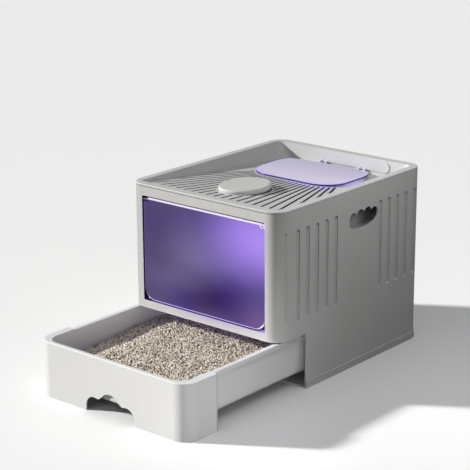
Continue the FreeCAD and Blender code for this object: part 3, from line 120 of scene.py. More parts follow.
class Graph:
    """Node graph of one material, with short calls for the nodes that the finishes share."""

    def __init__(self, name):
        self.material = bpy.data.materials.new(name)
        self.material.use_nodes = True
        self.tree = self.material.node_tree
        self.shader = self.tree.nodes["Principled BSDF"]
        self.output = self.tree.nodes["Material Output"]
        self.place = self.add("ShaderNodeTexCoord").outputs["Object"]

    def add(self, kind, **values):
        """New node with the given properties."""
        node = self.tree.nodes.new(kind)
        for key, value in values.items():
            setattr(node, key, value)
        return node

    def link(self, source, target):
        """Link between two sockets."""
        self.tree.links.new(source, target)

    def feed(self, target, value):
        """Link or constant into a socket."""
        if not isinstance(value, (int, float, tuple)):
            self.link(value, target)
        elif isinstance(value, tuple) and target.type == "RGBA":
            target.default_value = (*value, 1.0)
        else:
            target.default_value = value

    def set(self, **values):
        """Constant values on the shader's own sockets, with underscores for spaces."""
        for key, value in values.items():
            self.shader.inputs[key.replace("_", " ")].default_value = value

    def axis(self, name):
        """Place along one axis of the frame."""
        node = self.add("ShaderNodeSeparateXYZ")
        self.link(self.place, node.inputs["Vector"])
        return node.outputs[name]

    def uprightness(self):
        """One where a face looks straight up or down, nothing where it stands."""
        node = self.add("ShaderNodeSeparateXYZ")
        self.link(self.add("ShaderNodeTexCoord").outputs["Normal"], node.inputs["Vector"])
        return self.math("ABSOLUTE", node.outputs["Z"])

    def noise(self, scale, detail=3.0, place=None):
        """Cloud noise over the object's place."""
        node = self.add("ShaderNodeTexNoise")
        node.inputs["Scale"].default_value = scale
        node.inputs["Detail"].default_value = detail
        self.link(place or self.place, node.inputs["Vector"])
        return node.outputs["Fac"]

    def stretched(self, x, y, z):
        """Object place with each axis scaled."""
        node = self.add("ShaderNodeMapping")
        node.inputs["Scale"].default_value = (x, y, z)
        self.link(self.place, node.inputs["Vector"])
        return node.outputs["Vector"]

    def math(self, operation, first, second=0.0):
        """One step of arithmetic."""
        node = self.add("ShaderNodeMath", operation=operation)
        self.feed(node.inputs[0], first)
        self.feed(node.inputs[1], second)
        return node.outputs[0]

    def times(self, first, *others):
        """Product of two or more values."""
        for other in others:
            first = self.math("MULTIPLY", first, other)
        return first

    def spread(self, value, low, high, start=0.0, end=1.0):
        """Value from the range start to end, mapped smoothly to the range low to high."""
        node = self.add("ShaderNodeMapRange", interpolation_type="SMOOTHSTEP")
        node.inputs["From Min"].default_value = start
        node.inputs["From Max"].default_value = end
        node.inputs["To Min"].default_value = low
        node.inputs["To Max"].default_value = high
        self.link(value, node.inputs["Value"])
        return node.outputs["Result"]

    def rise(self, value, start, end):
        """Nothing below the start, one above the end."""
        return self.spread(value, 0.0, 1.0, start, end)

    def fall(self, value, start, end):
        """One below the start, nothing above the end."""
        return self.spread(value, 1.0, 0.0, start, end)

    def band(self, value, up_start, up_end, down_start, down_end):
        """One between two soft borders."""
        return self.times(self.rise(value, up_start, up_end), self.fall(value, down_start, down_end))

    def spot(self, centre, radii):
        """Soft spot: one at its centre and nothing at its radii."""
        shift = self.add("ShaderNodeVectorMath", operation="SUBTRACT")
        self.link(self.place, shift.inputs[0])
        shift.inputs[1].default_value = centre
        share = self.add("ShaderNodeVectorMath", operation="DIVIDE")
        self.link(shift.outputs[0], share.inputs[0])
        share.inputs[1].default_value = radii
        length = self.add("ShaderNodeVectorMath", operation="LENGTH")
        self.link(share.outputs[0], length.inputs[0])
        return self.fall(length.outputs["Value"], 0.0, 1.0)

    def mix(self, factor, first, second):
        """Colour between two colours."""
        node = self.add("ShaderNodeMix", data_type="RGBA")
        for place, value in ((0, factor), (6, first), (7, second)):
            self.feed(node.inputs[place], value)
        return node.outputs[2]

    def scaled(self, colour, factor):
        """Colour times a factor."""
        node = self.add("ShaderNodeVectorMath", operation="SCALE")
        self.feed(node.inputs[0], colour)
        self.feed(node.inputs["Scale"], factor)
        return node.outputs[0]

    def added(self, first, second):
        """Sum of two colours."""
        node = self.add("ShaderNodeVectorMath", operation="ADD")
        self.feed(node.inputs[0], first)
        self.feed(node.inputs[1], second)
        return node.outputs[0]

    def colour(self):
        """Socket that gives the shader its base colour."""
        return self.shader.inputs["Base Color"].links[0].from_socket

    def paint(self, colour):
        """Base colour from a socket."""
        self.link(colour, self.shader.inputs["Base Color"])

    def shine(self, colour):
        """Own light of the surface, added to what falls on it."""
        self.link(colour, self.shader.inputs["Emission Color"])
        self.set(Emission_Strength=1.0)

    def bump(self, height, depth, strength, under=None):
        """Fine relief as a normal, over another one if given."""
        node = self.add("ShaderNodeBump")
        node.inputs["Distance"].default_value = depth
        node.inputs["Strength"].default_value = strength
        self.link(height, node.inputs["Height"])
        if under is not None:
            self.link(under, node.inputs["Normal"])
        return node.outputs["Normal"]

    def roughen(self, height, depth, strength, under=None):
        """Fine relief on the surface."""
        self.link(self.bump(height, depth, strength, under), self.shader.inputs["Normal"])


# Moulded plastic: its colours, its mottle, and the scale and depth of its fine grain and slow waviness
PANEL_GREY = (0.59, 0.59, 0.575)
TRAY_GREY = (0.55, 0.55, 0.545)
DRAWER_WHITE = (0.79, 0.79, 0.785)
HINGE_GREY = (0.57, 0.57, 0.595)
CAP_GREY = (0.56, 0.555, 0.54)
# Handle cups' colours: painted shade of their recess, lighter at its front and near black at its rear and
# under its roof
CUP_SHADE_LIGHT = (0.36, 0.36, 0.345)
CUP_SHADE_DARK = (0.07, 0.07, 0.066)
# Lamp housing near black, painted as the shade in the gap under the lamp's cap
LAMP_GAP_SHADE = (0.07, 0.07, 0.068)
# Board, chips and battery in their own colours
BOARD_GREEN = (0.03, 0.16, 0.07)
CHIP_WHITE = (0.75, 0.73, 0.66)
BATTERY_BLUE = (0.05, 0.12, 0.34)
CLOUD_SCALE = 9.0
PATCH_SCALE = 34.0
SPARK_SCALE = 900.0
SPARK_DEPTH = 0.06 * MM
SPARK_STRENGTH = 0.5
WAVE_SCALE = 14.0
WAVE_DEPTH = 0.5 * MM
WAVE_STRENGTH = 0.35
PLASTIC_IOR = 1.46
NOISE_REACH = (0.3, 0.7)
ROUGHNESS_REACH = (0.9, 1.12)


def plastic(name, colour, roughness, mottle):
    """Moulded plastic: a faint mottle, a fine spark-eroded grain and a slow waviness.

    The mottle is the share by which the colour is lighter or darker from place to place.
    """
    graph = Graph(name)
    cloud = graph.rise(graph.noise(CLOUD_SCALE), *NOISE_REACH)
    dark = tuple(c * (1 - mottle) for c in colour)
    light = tuple(min(1.0, c * (1 + mottle)) for c in colour)
    graph.paint(graph.mix(cloud, dark, light))
    low, high = [roughness * share for share in ROUGHNESS_REACH]
    rough = graph.spread(graph.noise(PATCH_SCALE, detail=4.0), low, high, *NOISE_REACH)
    graph.link(rough, graph.shader.inputs["Roughness"])
    wave = graph.bump(graph.noise(WAVE_SCALE, detail=1.0), WAVE_DEPTH, WAVE_STRENGTH)
    graph.roughen(graph.noise(SPARK_SCALE, detail=2.0), SPARK_DEPTH, SPARK_STRENGTH, wave)
    graph.set(IOR=PLASTIC_IOR)
    return graph


# Painted glow on the door's face, standing in for light seen through it from behind, with lighter and darker
# spots over a base glow: place across and up in metres, reach across and up, and colour
DOOR_PAINTED_GLOW_BASE = (0.083, 0.060, 0.153)
DOOR_PAINTED_GLOWS = (
    ((0.154, 0.332), (0.184, 0.123), (0.310, 0.188, 0.564)),
    ((0.102, 0.316), (0.232, 0.257), (0.013, 0.002, 0.152)),
    ((0.028, 0.195), (0.143, 0.077), (-0.076, -0.067, -0.137)),
    ((-0.005, 0.264), (0.142, 0.108), (0.074, 0.069, 0.087)),
    ((-0.084, 0.201), (0.142, 0.045), (0.027, 0.027, 0.055)),
    ((-0.158, 0.323), (0.154, 0.090), (-0.018, -0.014, -0.005)),
    ((0.150, 0.150), (0.060, 0.060), (0.058, 0.024, 0.048)),
    ((-0.060, 0.150), (0.080, 0.070), (-0.024, -0.024, 0.015)),
)
DOOR_PLASTIC = (0.012, 0.009, 0.022, 1.0)
DOOR_CORNER = 27 * MM

# Painted highlight line inside the door's outline: its borders from the edge, its power, and where its foot
# fades
DOOR_LINE = (0.6 * MM, 2.6 * MM)
DOOR_LINE_POWER = 0.14
DOOR_LINE_FOOT = (2 * MM, 16 * MM)
DOOR_LINE_HIGHLIGHT = linear("bda6f4")
# Painted highlight on the door's rounded lower right corner: its place, reach and colour
FLASH_PLACE = (157 * MM, 8 * MM)
FLASH_REACH = (16 * MM, 14 * MM)
FLASH_HIGHLIGHT = linear("f4efff")

# Painted highlight on the upper edge, and the clips in the door's two upper corners painted into the glow,
# the left one as painted shade in its gap and the right one as a painted lit block with a dark pin, measured
# inward from its edges
DOOR_TOP = (3.4 * MM, 2.0 * MM)
DOOR_TOP_HIGHLIGHT = linear("efe8ff")
CLIP_ACROSS = (11 * MM, 13 * MM)
CLIP_DOWN = (9.5 * MM, 8.5 * MM)
LEFT_CLIP_SHADE = linear("2b1f55")
RIGHT_CLIP_LIT = linear("d9cdf6")
CLIP_PIN = (5 * MM, 4.5 * MM)
CLIP_PIN_REACH = (4 * MM, 3 * MM)
CLIP_PIN_COLOUR = linear("33255c")


def door_finish():
    """Smoked violet door with a painted glow as from behind, painted highlights along its edges, and painted
    shade and a painted lit block at its upper corner clips.
    """
    graph = Graph("door_smoked_painted_glow")
    low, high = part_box("front_door")
    across = graph.axis("X")
    height = graph.axis("Z")

    def door_spot(x, z, reach):
        """Soft spot on the door's face."""
        return graph.spot((x, low.y, z), (reach[0], 1.0, reach[1]))

    # Painted glow as from behind the door, lighter and darker in spots
    body = DOOR_PAINTED_GLOW_BASE
    for (x, z), reach, colour in DOOR_PAINTED_GLOWS:
        body = graph.added(body, graph.scaled(colour, door_spot(x, z, reach)))
    over_side = graph.math("SUBTRACT", graph.math("ABSOLUTE", across), high.x - DOOR_CORNER)
    over_foot = graph.math("SUBTRACT", low.z + DOOR_CORNER, height)
    squares = [graph.math("POWER", graph.math("MAXIMUM", over, 0.0), 2.0) for over in (over_side, over_foot)]
    inward = graph.math("SUBTRACT", DOOR_CORNER, graph.math("SQRT", graph.math("ADD", *squares)))
    # Painted highlight line along the outline, stronger at the foot, and a painted highlight at the lower
    # right corner
    border = graph.fall(inward, *DOOR_LINE)
    foot = graph.fall(height, low.z + DOOR_LINE_FOOT[0], low.z + DOOR_LINE_FOOT[1])
    line = graph.times(border, graph.math("ADD", DOOR_LINE_POWER, foot))
    body = graph.added(body, graph.scaled(DOOR_LINE_HIGHLIGHT, line))
    flash = graph.times(border, door_spot(FLASH_PLACE[0], low.z + FLASH_PLACE[1], FLASH_REACH))
    body = graph.added(body, graph.scaled(FLASH_HIGHLIGHT, flash))
    # Painted highlight along the upper edge, painted shade at the left clip and a painted lit block at the
    # right clip
    top = graph.rise(height, high.z - DOOR_TOP[0], high.z - DOOR_TOP[1])
    body = graph.mix(top, body, DOOR_TOP_HIGHLIGHT)
    upper = graph.rise(height, high.z - CLIP_DOWN[0], high.z - CLIP_DOWN[1])
    left_clip = graph.times(graph.fall(across, low.x + CLIP_ACROSS[0], low.x + CLIP_ACROSS[1]), upper)
    body = graph.mix(left_clip, body, LEFT_CLIP_SHADE)
    right_clip = graph.times(graph.rise(across, high.x - CLIP_ACROSS[1], high.x - CLIP_ACROSS[0]), upper)
    body = graph.mix(right_clip, body, RIGHT_CLIP_LIT)
    pin = door_spot(high.x - CLIP_PIN[0], high.z - CLIP_PIN[1], CLIP_PIN_REACH)
    graph.shine(graph.mix(pin, body, CLIP_PIN_COLOUR))
    graph.set(Base_Color=DOOR_PLASTIC, Roughness=0.30, IOR=1.45, Specular_IOR_Level=0.25)
    graph.roughen(graph.noise(700.0, detail=2.0), depth=0.05 * MM, strength=0.4)
    return graph


# Lid: its colours, with painted highlights on its border and front brink, painted shade in its crease and on
# its edge and a painted glow, and where its border, its crease and its lit front brink lie
LID_FRONT = linear("dad5e6")
LID_REAR = linear("b2adc2")
LID_BORDER_HIGHLIGHT = linear("cdc1ec")
LID_CREASE_SHADE = linear("8f86ad")
LID_EDGE_SHADE = linear("2c1d63")
LID_GLOW = linear("9a86e0")
LID_BRINK_HIGHLIGHT = linear("e4d8ff")
LID_ROUNDNESS = 3.0
LID_BORDER = (0.90, 1.0)
LID_BORDER_END = (140 * MM, 190 * MM)
LID_CREASE = (172 * MM, 179 * MM, 179 * MM, 190 * MM)
LID_CREASE_POWER = 0.35
LID_BRINK_END = (100 * MM, 160 * MM)
LID_BRINK_POWER = 0.5
LID_GLOW_POWER = 0.08
LID_BORDER_POWER = 0.10

# How upright the lid's faces are at its edge, painted deep violet as shade in the tint's colour, and along
# the roll above it, where a painted highlight lies
LID_EDGE = (0.86, 0.97)
LID_BRINK = (0.955, 0.985, 0.990, 0.9995)


def lid_finish():
    """Lavender tinted lid: pale on top under a painted glow, with painted highlights on its border and front
    brink, painted shade in its crease, and deep violet painted shade on its upright edge.
    """
    graph = Graph("lid_tinted")
    low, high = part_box("exit_lid")
    half = (high - low) / 2
    middle = (high + low) / 2
    run = graph.axis("Y")
    colour = graph.mix(graph.rise(run, low.y, high.y), LID_FRONT, LID_REAR)
    away_x = graph.math("DIVIDE", graph.math("ABSOLUTE", graph.axis("X")), half.x)
    away_y = graph.math("DIVIDE", graph.math("ABSOLUTE", graph.math("SUBTRACT", run, middle.y)), half.y)
    powers = [graph.math("POWER", away, LID_ROUNDNESS) for away in (away_x, away_y)]
    outward = graph.math("POWER", graph.math("ADD", *powers), 1 / LID_ROUNDNESS)
    # Painted highlight along the border, toward the front
    border = graph.times(graph.rise(outward, *LID_BORDER), graph.fall(run, *LID_BORDER_END))
    colour = graph.mix(border, colour, LID_BORDER_HIGHLIGHT)
    # Painted shade in the crease
    crease = graph.times(graph.band(run, *LID_CREASE), LID_CREASE_POWER)
    colour = graph.mix(crease, colour, LID_CREASE_SHADE)
    # Painted shade, deep violet, on the upright edge
    upright = graph.uprightness()
    edge = graph.fall(upright, *LID_EDGE)
    graph.paint(graph.mix(edge, colour, LID_EDGE_SHADE))
    # Painted glow over the faces, stronger along the border
    face = graph.math("SUBTRACT", 1.0, edge)
    power = graph.math("ADD", LID_GLOW_POWER, graph.times(border, LID_BORDER_POWER))
    glow = graph.scaled(LID_GLOW, graph.times(face, power))
    # Painted highlight along the front brink
    brink = graph.times(graph.band(upright, *LID_BRINK), graph.fall(run, *LID_BRINK_END), LID_BRINK_POWER)
    graph.shine(graph.added(glow, graph.scaled(LID_BRINK_HIGHLIGHT, brink)))
    graph.set(Roughness=0.3, IOR=1.49)
    graph.roughen(graph.noise(600.0, detail=2.0), depth=0.05 * MM, strength=0.4)
    return graph


def clear_finish():
    """Clear lens with a violet tint."""
    graph = Graph("lens_clear")
    tint = graph.mix(graph.noise(60.0), linear("d8ccff"), linear("efe8ff"))
    graph.paint(tint)
    graph.shine(graph.scaled(tint, 0.6))
    graph.set(Roughness=0.25, IOR=1.49)
    return graph


STEEL_DARK = (0.50, 0.50, 0.51)
STEEL_LIGHT = (0.66, 0.66, 0.67)


def metal_finish():
    """Turned steel for screws and pins."""
    graph = Graph("steel_turned")
    streak = graph.noise(400.0, place=graph.stretched(1.0, 1.0, 6.0))
    graph.paint(graph.mix(streak, STEEL_DARK, STEEL_LIGHT))
    graph.link(graph.spread(streak, 0.22, 0.36), graph.shader.inputs["Roughness"])
    graph.set(Metallic=1.0)
    return graph


# Clay colours over the share of grains that have them, and the dust on the grains
CLAY_STOPS = (
    (0.0, "4d4136"),
    (0.13, "7a6a5a"),
    (0.24, "d8cab6"),
    (0.50, "f6ecdc"),
    (0.80, "fff9ee"),
    (1.0, "ffffff"),
)
CLAY_DUST = linear("cdbfa9")


def granule_finish():
    """Dusty clay grains in beige, grey and near white."""
    graph = Graph("litter_grain")
    ramp = graph.add("ShaderNodeValToRGB")
    stops = ramp.color_ramp.elements
    for place, colour in CLAY_STOPS:
        if place in (0.0, 1.0):
            stop = stops[0 if place == 0.0 else -1]
        else:
            stop = stops.new(place)
        stop.color = (*linear(colour), 1.0)
    graph.link(graph.add("ShaderNodeNewGeometry").outputs["Random Per Island"], ramp.inputs["Fac"])
    speck = graph.noise(1500.0, detail=2.0)
    graph.paint(graph.mix(graph.spread(speck, 0.0, 0.35, 0.35, 0.65), ramp.outputs["Color"], CLAY_DUST))
    graph.roughen(speck, depth=0.3 * MM, strength=0.6)
    graph.set(Roughness=0.9)
    return graph


# Packed bed: its cell scale, and its colours, painted dark as the shade in the gaps between the grains
BED_CELLS = 330.0
BED_SHADE_DEEP = linear("3c332b")
BED_SHADE_PALE = linear("6c6053")


def bed_finish():
    """Packed clay under the loose grains, painted dark as the shade in the gaps between them."""
    graph = Graph("litter_packed")
    cell = graph.add("ShaderNodeTexVoronoi")
    cell.inputs["Scale"].default_value = BED_CELLS
    graph.link(graph.place, cell.inputs["Vector"])
    tone = graph.fall(cell.outputs["Distance"], 0.0, 0.6)
    graph.paint(graph.mix(tone, BED_SHADE_DEEP, BED_SHADE_PALE))
    graph.roughen(tone, depth=1.5 * MM, strength=1.0)
    graph.set(Roughness=0.95)
    return graph


# Flutes of the side panels: soft borders of their ends, of their floor and brim from the middle plane,
# and of the shade under the head and the light at the foot
FLUTE_FOOT = (155.5 * MM, 157.5 * MM)
FLUTE_TOP = (352.3 * MM, 353.3 * MM)
FLUTE_HEAD_RUN = (343.8 * MM, 350.8 * MM)
FLUTE_FOOT_RUN = (157.5 * MM, 162.5 * MM)
FLUTE_FLOOR = (202.2 * MM, 202.6 * MM)
FLUTE_BRIM = (203.2 * MM, 204.6 * MM)
FLUTE_SHADE = 0.10
FLUTE_HEAD_SHADE = 0.45
FLUTE_FOOT_LIGHT = 0.30


def side_finish():
    """Side panel plastic, shaded in its flutes as deep grooves are."""
    graph = plastic("side_grey_moulded", PANEL_GREY, roughness=0.40, mottle=0.015)
    plain = graph.colour()
    height = graph.axis("Z")
    sunk = graph.band(graph.math("ABSOLUTE", graph.axis("X")), *FLUTE_FLOOR, *FLUTE_BRIM)
    flute = graph.times(sunk, graph.band(height, *FLUTE_FOOT, *FLUTE_TOP))
    head = graph.times(flute, graph.rise(height, *FLUTE_HEAD_RUN))
    foot = graph.times(flute, graph.fall(height, *FLUTE_FOOT_RUN))
    shade = graph.math("SUBTRACT", 1.0, graph.times(flute, FLUTE_SHADE))
    shade = graph.math("SUBTRACT", shade, graph.times(head, FLUTE_HEAD_SHADE))
    shade = graph.math("ADD", shade, graph.times(foot, FLUTE_FOOT_LIGHT))
    graph.paint(graph.scaled(plain, shade))
    return graph


# Sloping floor of the top tray, the depth under it at which the slots' walls lie, and the painted shade on
# those walls
BASIN_FRONT = 393.0 * MM
BASIN_START = -237.0 * MM
BASIN_FALL = 0.068
SLOT_WALL = (0.0, 0.5 * MM, 3.6 * MM, 4.4 * MM)
SLOT_UPRIGHT = (0.2, 0.5)
SLOT_WALL_SHADE = (0.018, 0.018, 0.017)

# Painted pool of violet light that the lid throws on the tray: centre, reach, colour and power
LID_PAINTED_LIGHTS = (
    ((0.145, 0.120, 0.372), (0.060, 0.100, 1.0), linear("9d93cf"), 0.95),
    ((0.045, 0.036, 0.372), (0.110, 0.034, 1.0), linear("6a52c4"), 0.75),
)


def slotted_finish():
    """Top tray plastic with painted shade down the walls of its slots and a painted pool of violet light
    beside the lid.
    """
    graph = plastic("slotted_grey_moulded", TRAY_GREY, roughness=0.42, mottle=0.015)
    plain = graph.colour()
    # Painted shade on the slots' walls below the floor
    drop = graph.times(graph.math("SUBTRACT", graph.axis("Y"), BASIN_START), BASIN_FALL)
    under = graph.math("SUBTRACT", graph.math("SUBTRACT", BASIN_FRONT, drop), graph.axis("Z"))
    wall = graph.fall(graph.uprightness(), *SLOT_UPRIGHT)
    inside = graph.times(graph.band(under, *SLOT_WALL), wall)
    graph.paint(graph.mix(inside, plain, SLOT_WALL_SHADE))
    # Painted violet light beside and before the lid, kept off the shaded slot walls
    beside, before = [graph.scaled(colour, graph.times(graph.spot(centre, reach), power))
                      for centre, reach, colour, power in LID_PAINTED_LIGHTS]
    graph.shine(graph.scaled(graph.added(beside, before), graph.math("SUBTRACT", 1.0, inside)))
    return graph


# Handle cups: where their painted shade begins and ends
CUP_FRONT = 12.0 * MM
CUP_REAR = 68.0 * MM
CUP_ROOF = 346.0 * MM
CUP_ROOF_SHADE = 14.0 * MM


def cup_finish():
    """Handle cup plastic with painted shade, darker toward its rear end and under its roof."""
    graph = plastic("cup_painted_shade_moulded", CUP_SHADE_LIGHT, roughness=0.5, mottle=0.02)
    rear = graph.rise(graph.axis("Y"), CUP_FRONT, CUP_REAR)
    roof = graph.rise(graph.axis("Z"), CUP_ROOF - CUP_ROOF_SHADE, CUP_ROOF)
    graph.paint(graph.mix(graph.math("MAXIMUM", rear, roof), CUP_SHADE_LIGHT, CUP_SHADE_DARK))
    return graph


# Shadow lines of the drawer: under the tray's lip, and at the end of the front's return
LIP_FOOT = 108.6 * MM
LIP_LINE = 1.7 * MM
TRAY_SIDE = 189.0 * MM
RETURN_END = -447.6 * MM
RETURN_LINE = 1.4 * MM
FRONT_SIDE = 205.0 * MM
LINE_POWER = 0.65
LINE_GREY = (0.20, 0.20, 0.20)


def drawer_finish(name, line_axis, place, width, side):
    """Drawer plastic with one fine shadow line on its outer sides."""
    graph = plastic(name, DRAWER_WHITE, roughness=0.36, mottle=0.01)
    plain = graph.colour()
    along = graph.axis(line_axis)
    line = graph.band(along, place - width, place - width / 2, place + width / 2, place + width)
    outer = graph.rise(graph.math("ABSOLUTE", graph.axis("X")), side - 1.0 * MM, side)
    graph.paint(graph.mix(graph.times(line, outer, LINE_POWER), plain, LINE_GREY))
    return graph


# Doorway's reveal in the front frame: soft borders of its front edge, its sides and its sill
REVEAL_DEPTH = (-254.6 * MM, -253.8 * MM)
REVEAL_SIDE = (168.7 * MM, 169.1 * MM)
REVEAL_SILL = (138.4 * MM, 138.8 * MM)
REVEAL_DARK = linear("231a45")

# Violet light on the sill and at the reveal's lower right corner, and the shade on the left jamb
SILL_PLACE = (0.030, -0.25, 0.139)
SILL_REACH = (0.190, 1.0, 0.022)
SILL_COLOUR = linear("a594c4")
SILL_POWER = 0.55
CORNER_PLACE = (0.166, -0.25, 0.139)
CORNER_REACH = (0.030, 1.0, 0.030)
CORNER_COLOUR = linear("b79cf2")
JAMB_SHADE = (-196 * MM, -158 * MM)
JAMB_GREY = (0.36, 0.36, 0.37)
JAMB_POWER = 0.75


def frame_finish():
    """Front frame plastic, deep violet in the shade of the doorway's reveal and lit at its lower right."""
    graph = plastic("frame_grey_moulded", PANEL_GREY, roughness=0.40, mottle=0.015)
    across = graph.axis("X")
    depth = graph.rise(graph.axis("Y"), *REVEAL_DEPTH)
    width = graph.fall(graph.math("ABSOLUTE", across), *REVEAL_SIDE)
    height = graph.rise(graph.axis("Z"), *REVEAL_SILL)
    reveal = graph.times(depth, width, height)
    sill = graph.times(graph.spot(SILL_PLACE, SILL_REACH), SILL_POWER)
    plain = graph.mix(sill, graph.colour(), SILL_COLOUR)
    jamb = graph.times(graph.fall(across, *JAMB_SHADE), JAMB_POWER)
    plain = graph.mix(jamb, plain, JAMB_GREY)
    graph.paint(graph.mix(reveal, plain, REVEAL_DARK))
    corner = graph.times(reveal, graph.spot(CORNER_PLACE, CORNER_REACH))
    graph.shine(graph.scaled(CORNER_COLOUR, corner))
    return graph


SIDE_FINISH = side_finish()
CUP_FINISH = cup_finish()
BED_FINISH = bed_finish()

# Finishes of single nodes, and of material slots for the rest
NODE_FINISHES = {
    "front_frame": frame_finish(),
    "side_panel_left": SIDE_FINISH,
    "side_panel_right": SIDE_FINISH,
    "top_tray": slotted_finish(),
    "handle_cup_left": CUP_FINISH,
    "handle_cup_right": CUP_FINISH,
    "drawer_tray": drawer_finish("tray_white_moulded", "Z", LIP_FOOT, LIP_LINE, TRAY_SIDE),
    "drawer_front": drawer_finish("front_white_moulded", "Y", RETURN_END, RETURN_LINE, FRONT_SIDE),
    # Lamp housing painted near black as the shade in the gap under the cap
    "lamp_housing": plastic("housing_painted_shade_moulded", LAMP_GAP_SHADE, roughness=0.5, mottle=0.02),
}
SLOT_FINISHES = {
    "panel_grey": plastic("panel_grey_moulded", PANEL_GREY, roughness=0.40, mottle=0.015),
    "litter": BED_FINISH,
    "door_tint": door_finish(),
    "lid_tint": lid_finish(),
    "hinge_light": plastic("hinge_light_moulded", HINGE_GREY, roughness=0.35, mottle=0.01),
    "cap_grey": plastic("cap_grey_moulded", CAP_GREY, roughness=0.45, mottle=0.015),
    "lens_clear": clear_finish(),
    "board_green": plastic("board_lacquer", BOARD_GREEN, roughness=0.3, mottle=0.1),
    "chip_white": plastic("chip_ceramic", CHIP_WHITE, roughness=0.5, mottle=0.03),
    "battery_wrap": plastic("battery_sleeve", BATTERY_BLUE, roughness=0.32, mottle=0.05),
    "steel": metal_finish(),
}


def dress_nodes():
    """Gives each carried node its own finish, or else that of its material slot."""
    for label, node in nodes.items():
        for holder in node.material_slots:
            slot = holder.material.name.split(".")[0]
            finish = NODE_FINISHES.get(label) or SLOT_FINISHES[slot]
            holder.link = "OBJECT"
            holder.material = finish.material


# Litter heap in the drawer's tray: its plan, and its height from the walls to the middle
TRAY_LOW, TRAY_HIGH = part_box("litter_bed")
TRAY_MIDDLE = (TRAY_LOW.y + TRAY_HIGH.y) / 2
TRAY_CORNER = 28.0 * MM
HEAP_EDGE = 77.0 * MM
HEAP_TOP = 87.0 * MM
HEAP_RUN = 105.0 * MM
HEAP_BELOW_WALL = 1.5 * MM

# Lower ground at the front left: its drop, its width, and where and over what run it begins
LEFT_DROP = 9.0 * MM
LEFT_WIDTH = 100.0 * MM
LEFT_START = -230.0 * MM
LEFT_RUN = 190.0 * MM

# Waves of the surface: height, count per metre and place in the noise
HEAP_WAVES = (
    (1.6 * MM, 16, 0.3),
    (0.9 * MM, 60, 1.7),
)

# Packed bed under the grains, drawn in from the litter's sides and top, and its mesh
BED_INSET = 1.4 * MM
BED_HALF_X = (TRAY_HIGH.x - TRAY_LOW.x) / 2 - BED_INSET
BED_HALF_Y = (TRAY_HIGH.y - TRAY_LOW.y) / 2 - BED_INSET
BED_DROP = 2.2 * MM
BED_FOOT_SHARE = 0.985
BED_RINGS = 40
BED_TURNS = 160
EDGE_STEPS = 24

# Loose grains: their places, and their distance from the tray's walls and top
GRAIN_SEED = 11
GRAIN_PITCH = 3.1 * MM
GRAIN_SIZE = 2.05 * MM
GRAIN_SIZES = (0.65, 1.25)
GRAIN_SQUEEZE = (0.7, 1.25)
GRAIN_WOBBLE = (0.82, 1.15)
GRAIN_LIFT = (0.1, 0.9)
GRAIN_MARGIN = 1.5 * MM
GRAIN_BELOW_TOP = 1.3


def eased(value):
    """Smooth step from nothing to one."""
    share = min(1.0, max(0.0, value))
    return share * share * (3 - 2 * share)


def heap_height(x, y):
    """Top of the litter: low along the walls, nearly level over the middle."""
    from_side = TRAY_HIGH.x - abs(x)
    from_end = min(y - TRAY_LOW.y, TRAY_HIGH.y - y)
    level = HEAP_EDGE + (HEAP_TOP - HEAP_EDGE) * eased(min(from_side, from_end) / HEAP_RUN)
    near_left = eased((LEFT_WIDTH - (x + TRAY_HIGH.x)) / LEFT_WIDTH)
    level -= LEFT_DROP * near_left * eased((LEFT_START - y) / LEFT_RUN)
    for rise, count, place in HEAP_WAVES:
        level += rise * noise.noise(Vector((x * count, y * count, place)))
    return min(level, TRAY_HIGH.z - HEAP_BELOW_WALL)


def inside_tray(x, y, margin):
    """Whether a point of the plan lies inside the rounded tray, less a margin."""
    over_x = max(abs(x) - (TRAY_HIGH.x - margin - TRAY_CORNER), 0.0)
    half_y = (TRAY_HIGH.y - TRAY_LOW.y) / 2
    over_y = max(abs(y - TRAY_MIDDLE) - (half_y - margin - TRAY_CORNER), 0.0)
    return math.hypot(over_x, over_y) <= TRAY_CORNER


def bed_point(turn, share):
    """Point of the bed's rounded plan, scaled towards the middle."""
    angle = math.tau * turn / BED_TURNS
    dx = math.cos(angle)
    dy = math.sin(angle)
    low_reach = 0.0
    high_reach = 2.0
    for _ in range(EDGE_STEPS):
        reach = (low_reach + high_reach) / 2
        if inside_tray(dx * reach, TRAY_MIDDLE + dy * reach, BED_INSET):
            low_reach = reach
        else:
            high_reach = reach
    return dx * low_reach * share, TRAY_MIDDLE + dy * low_reach * share


def make_bed():
    """Packed bed in place of the plain litter solid: rings from the middle out, then a wall and a foot."""
    turns = range(BED_TURNS)
    points = [(0.0, TRAY_MIDDLE, heap_height(0.0, TRAY_MIDDLE) - BED_DROP)]
    for ring in range(1, BED_RINGS + 1):
        for turn in turns:
            x, y = bed_point(turn, ring / BED_RINGS)
            points.append((x, y, heap_height(x, y) - BED_DROP))
    for turn in turns:
        points.append((*bed_point(turn, BED_FOOT_SHARE), TRAY_LOW.z))
    faces = [(0, 1 + turn, 1 + (turn + 1) % BED_TURNS) for turn in turns]
    for ring in range(BED_RINGS):
        first = 1 + ring * BED_TURNS
        second = first + BED_TURNS
        for turn in turns:
            after = (turn + 1) % BED_TURNS
            faces.append((first + turn, second + turn, second + after, first + after))
    foot = 1 + BED_RINGS * BED_TURNS
    faces.append(tuple(foot + turn for turn in reversed(turns)))
    mesh = bpy.data.meshes.new("litter_packed_bed")
    mesh.from_pydata(points, [], faces)
    mesh.polygons.foreach_set("use_smooth", [True] * len(mesh.polygons))
    mesh.materials.append(BED_FINISH.material)
    bed = put("litter_packed_bed", mesh)
    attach(bed, "drawer")
    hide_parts("litter_bed")


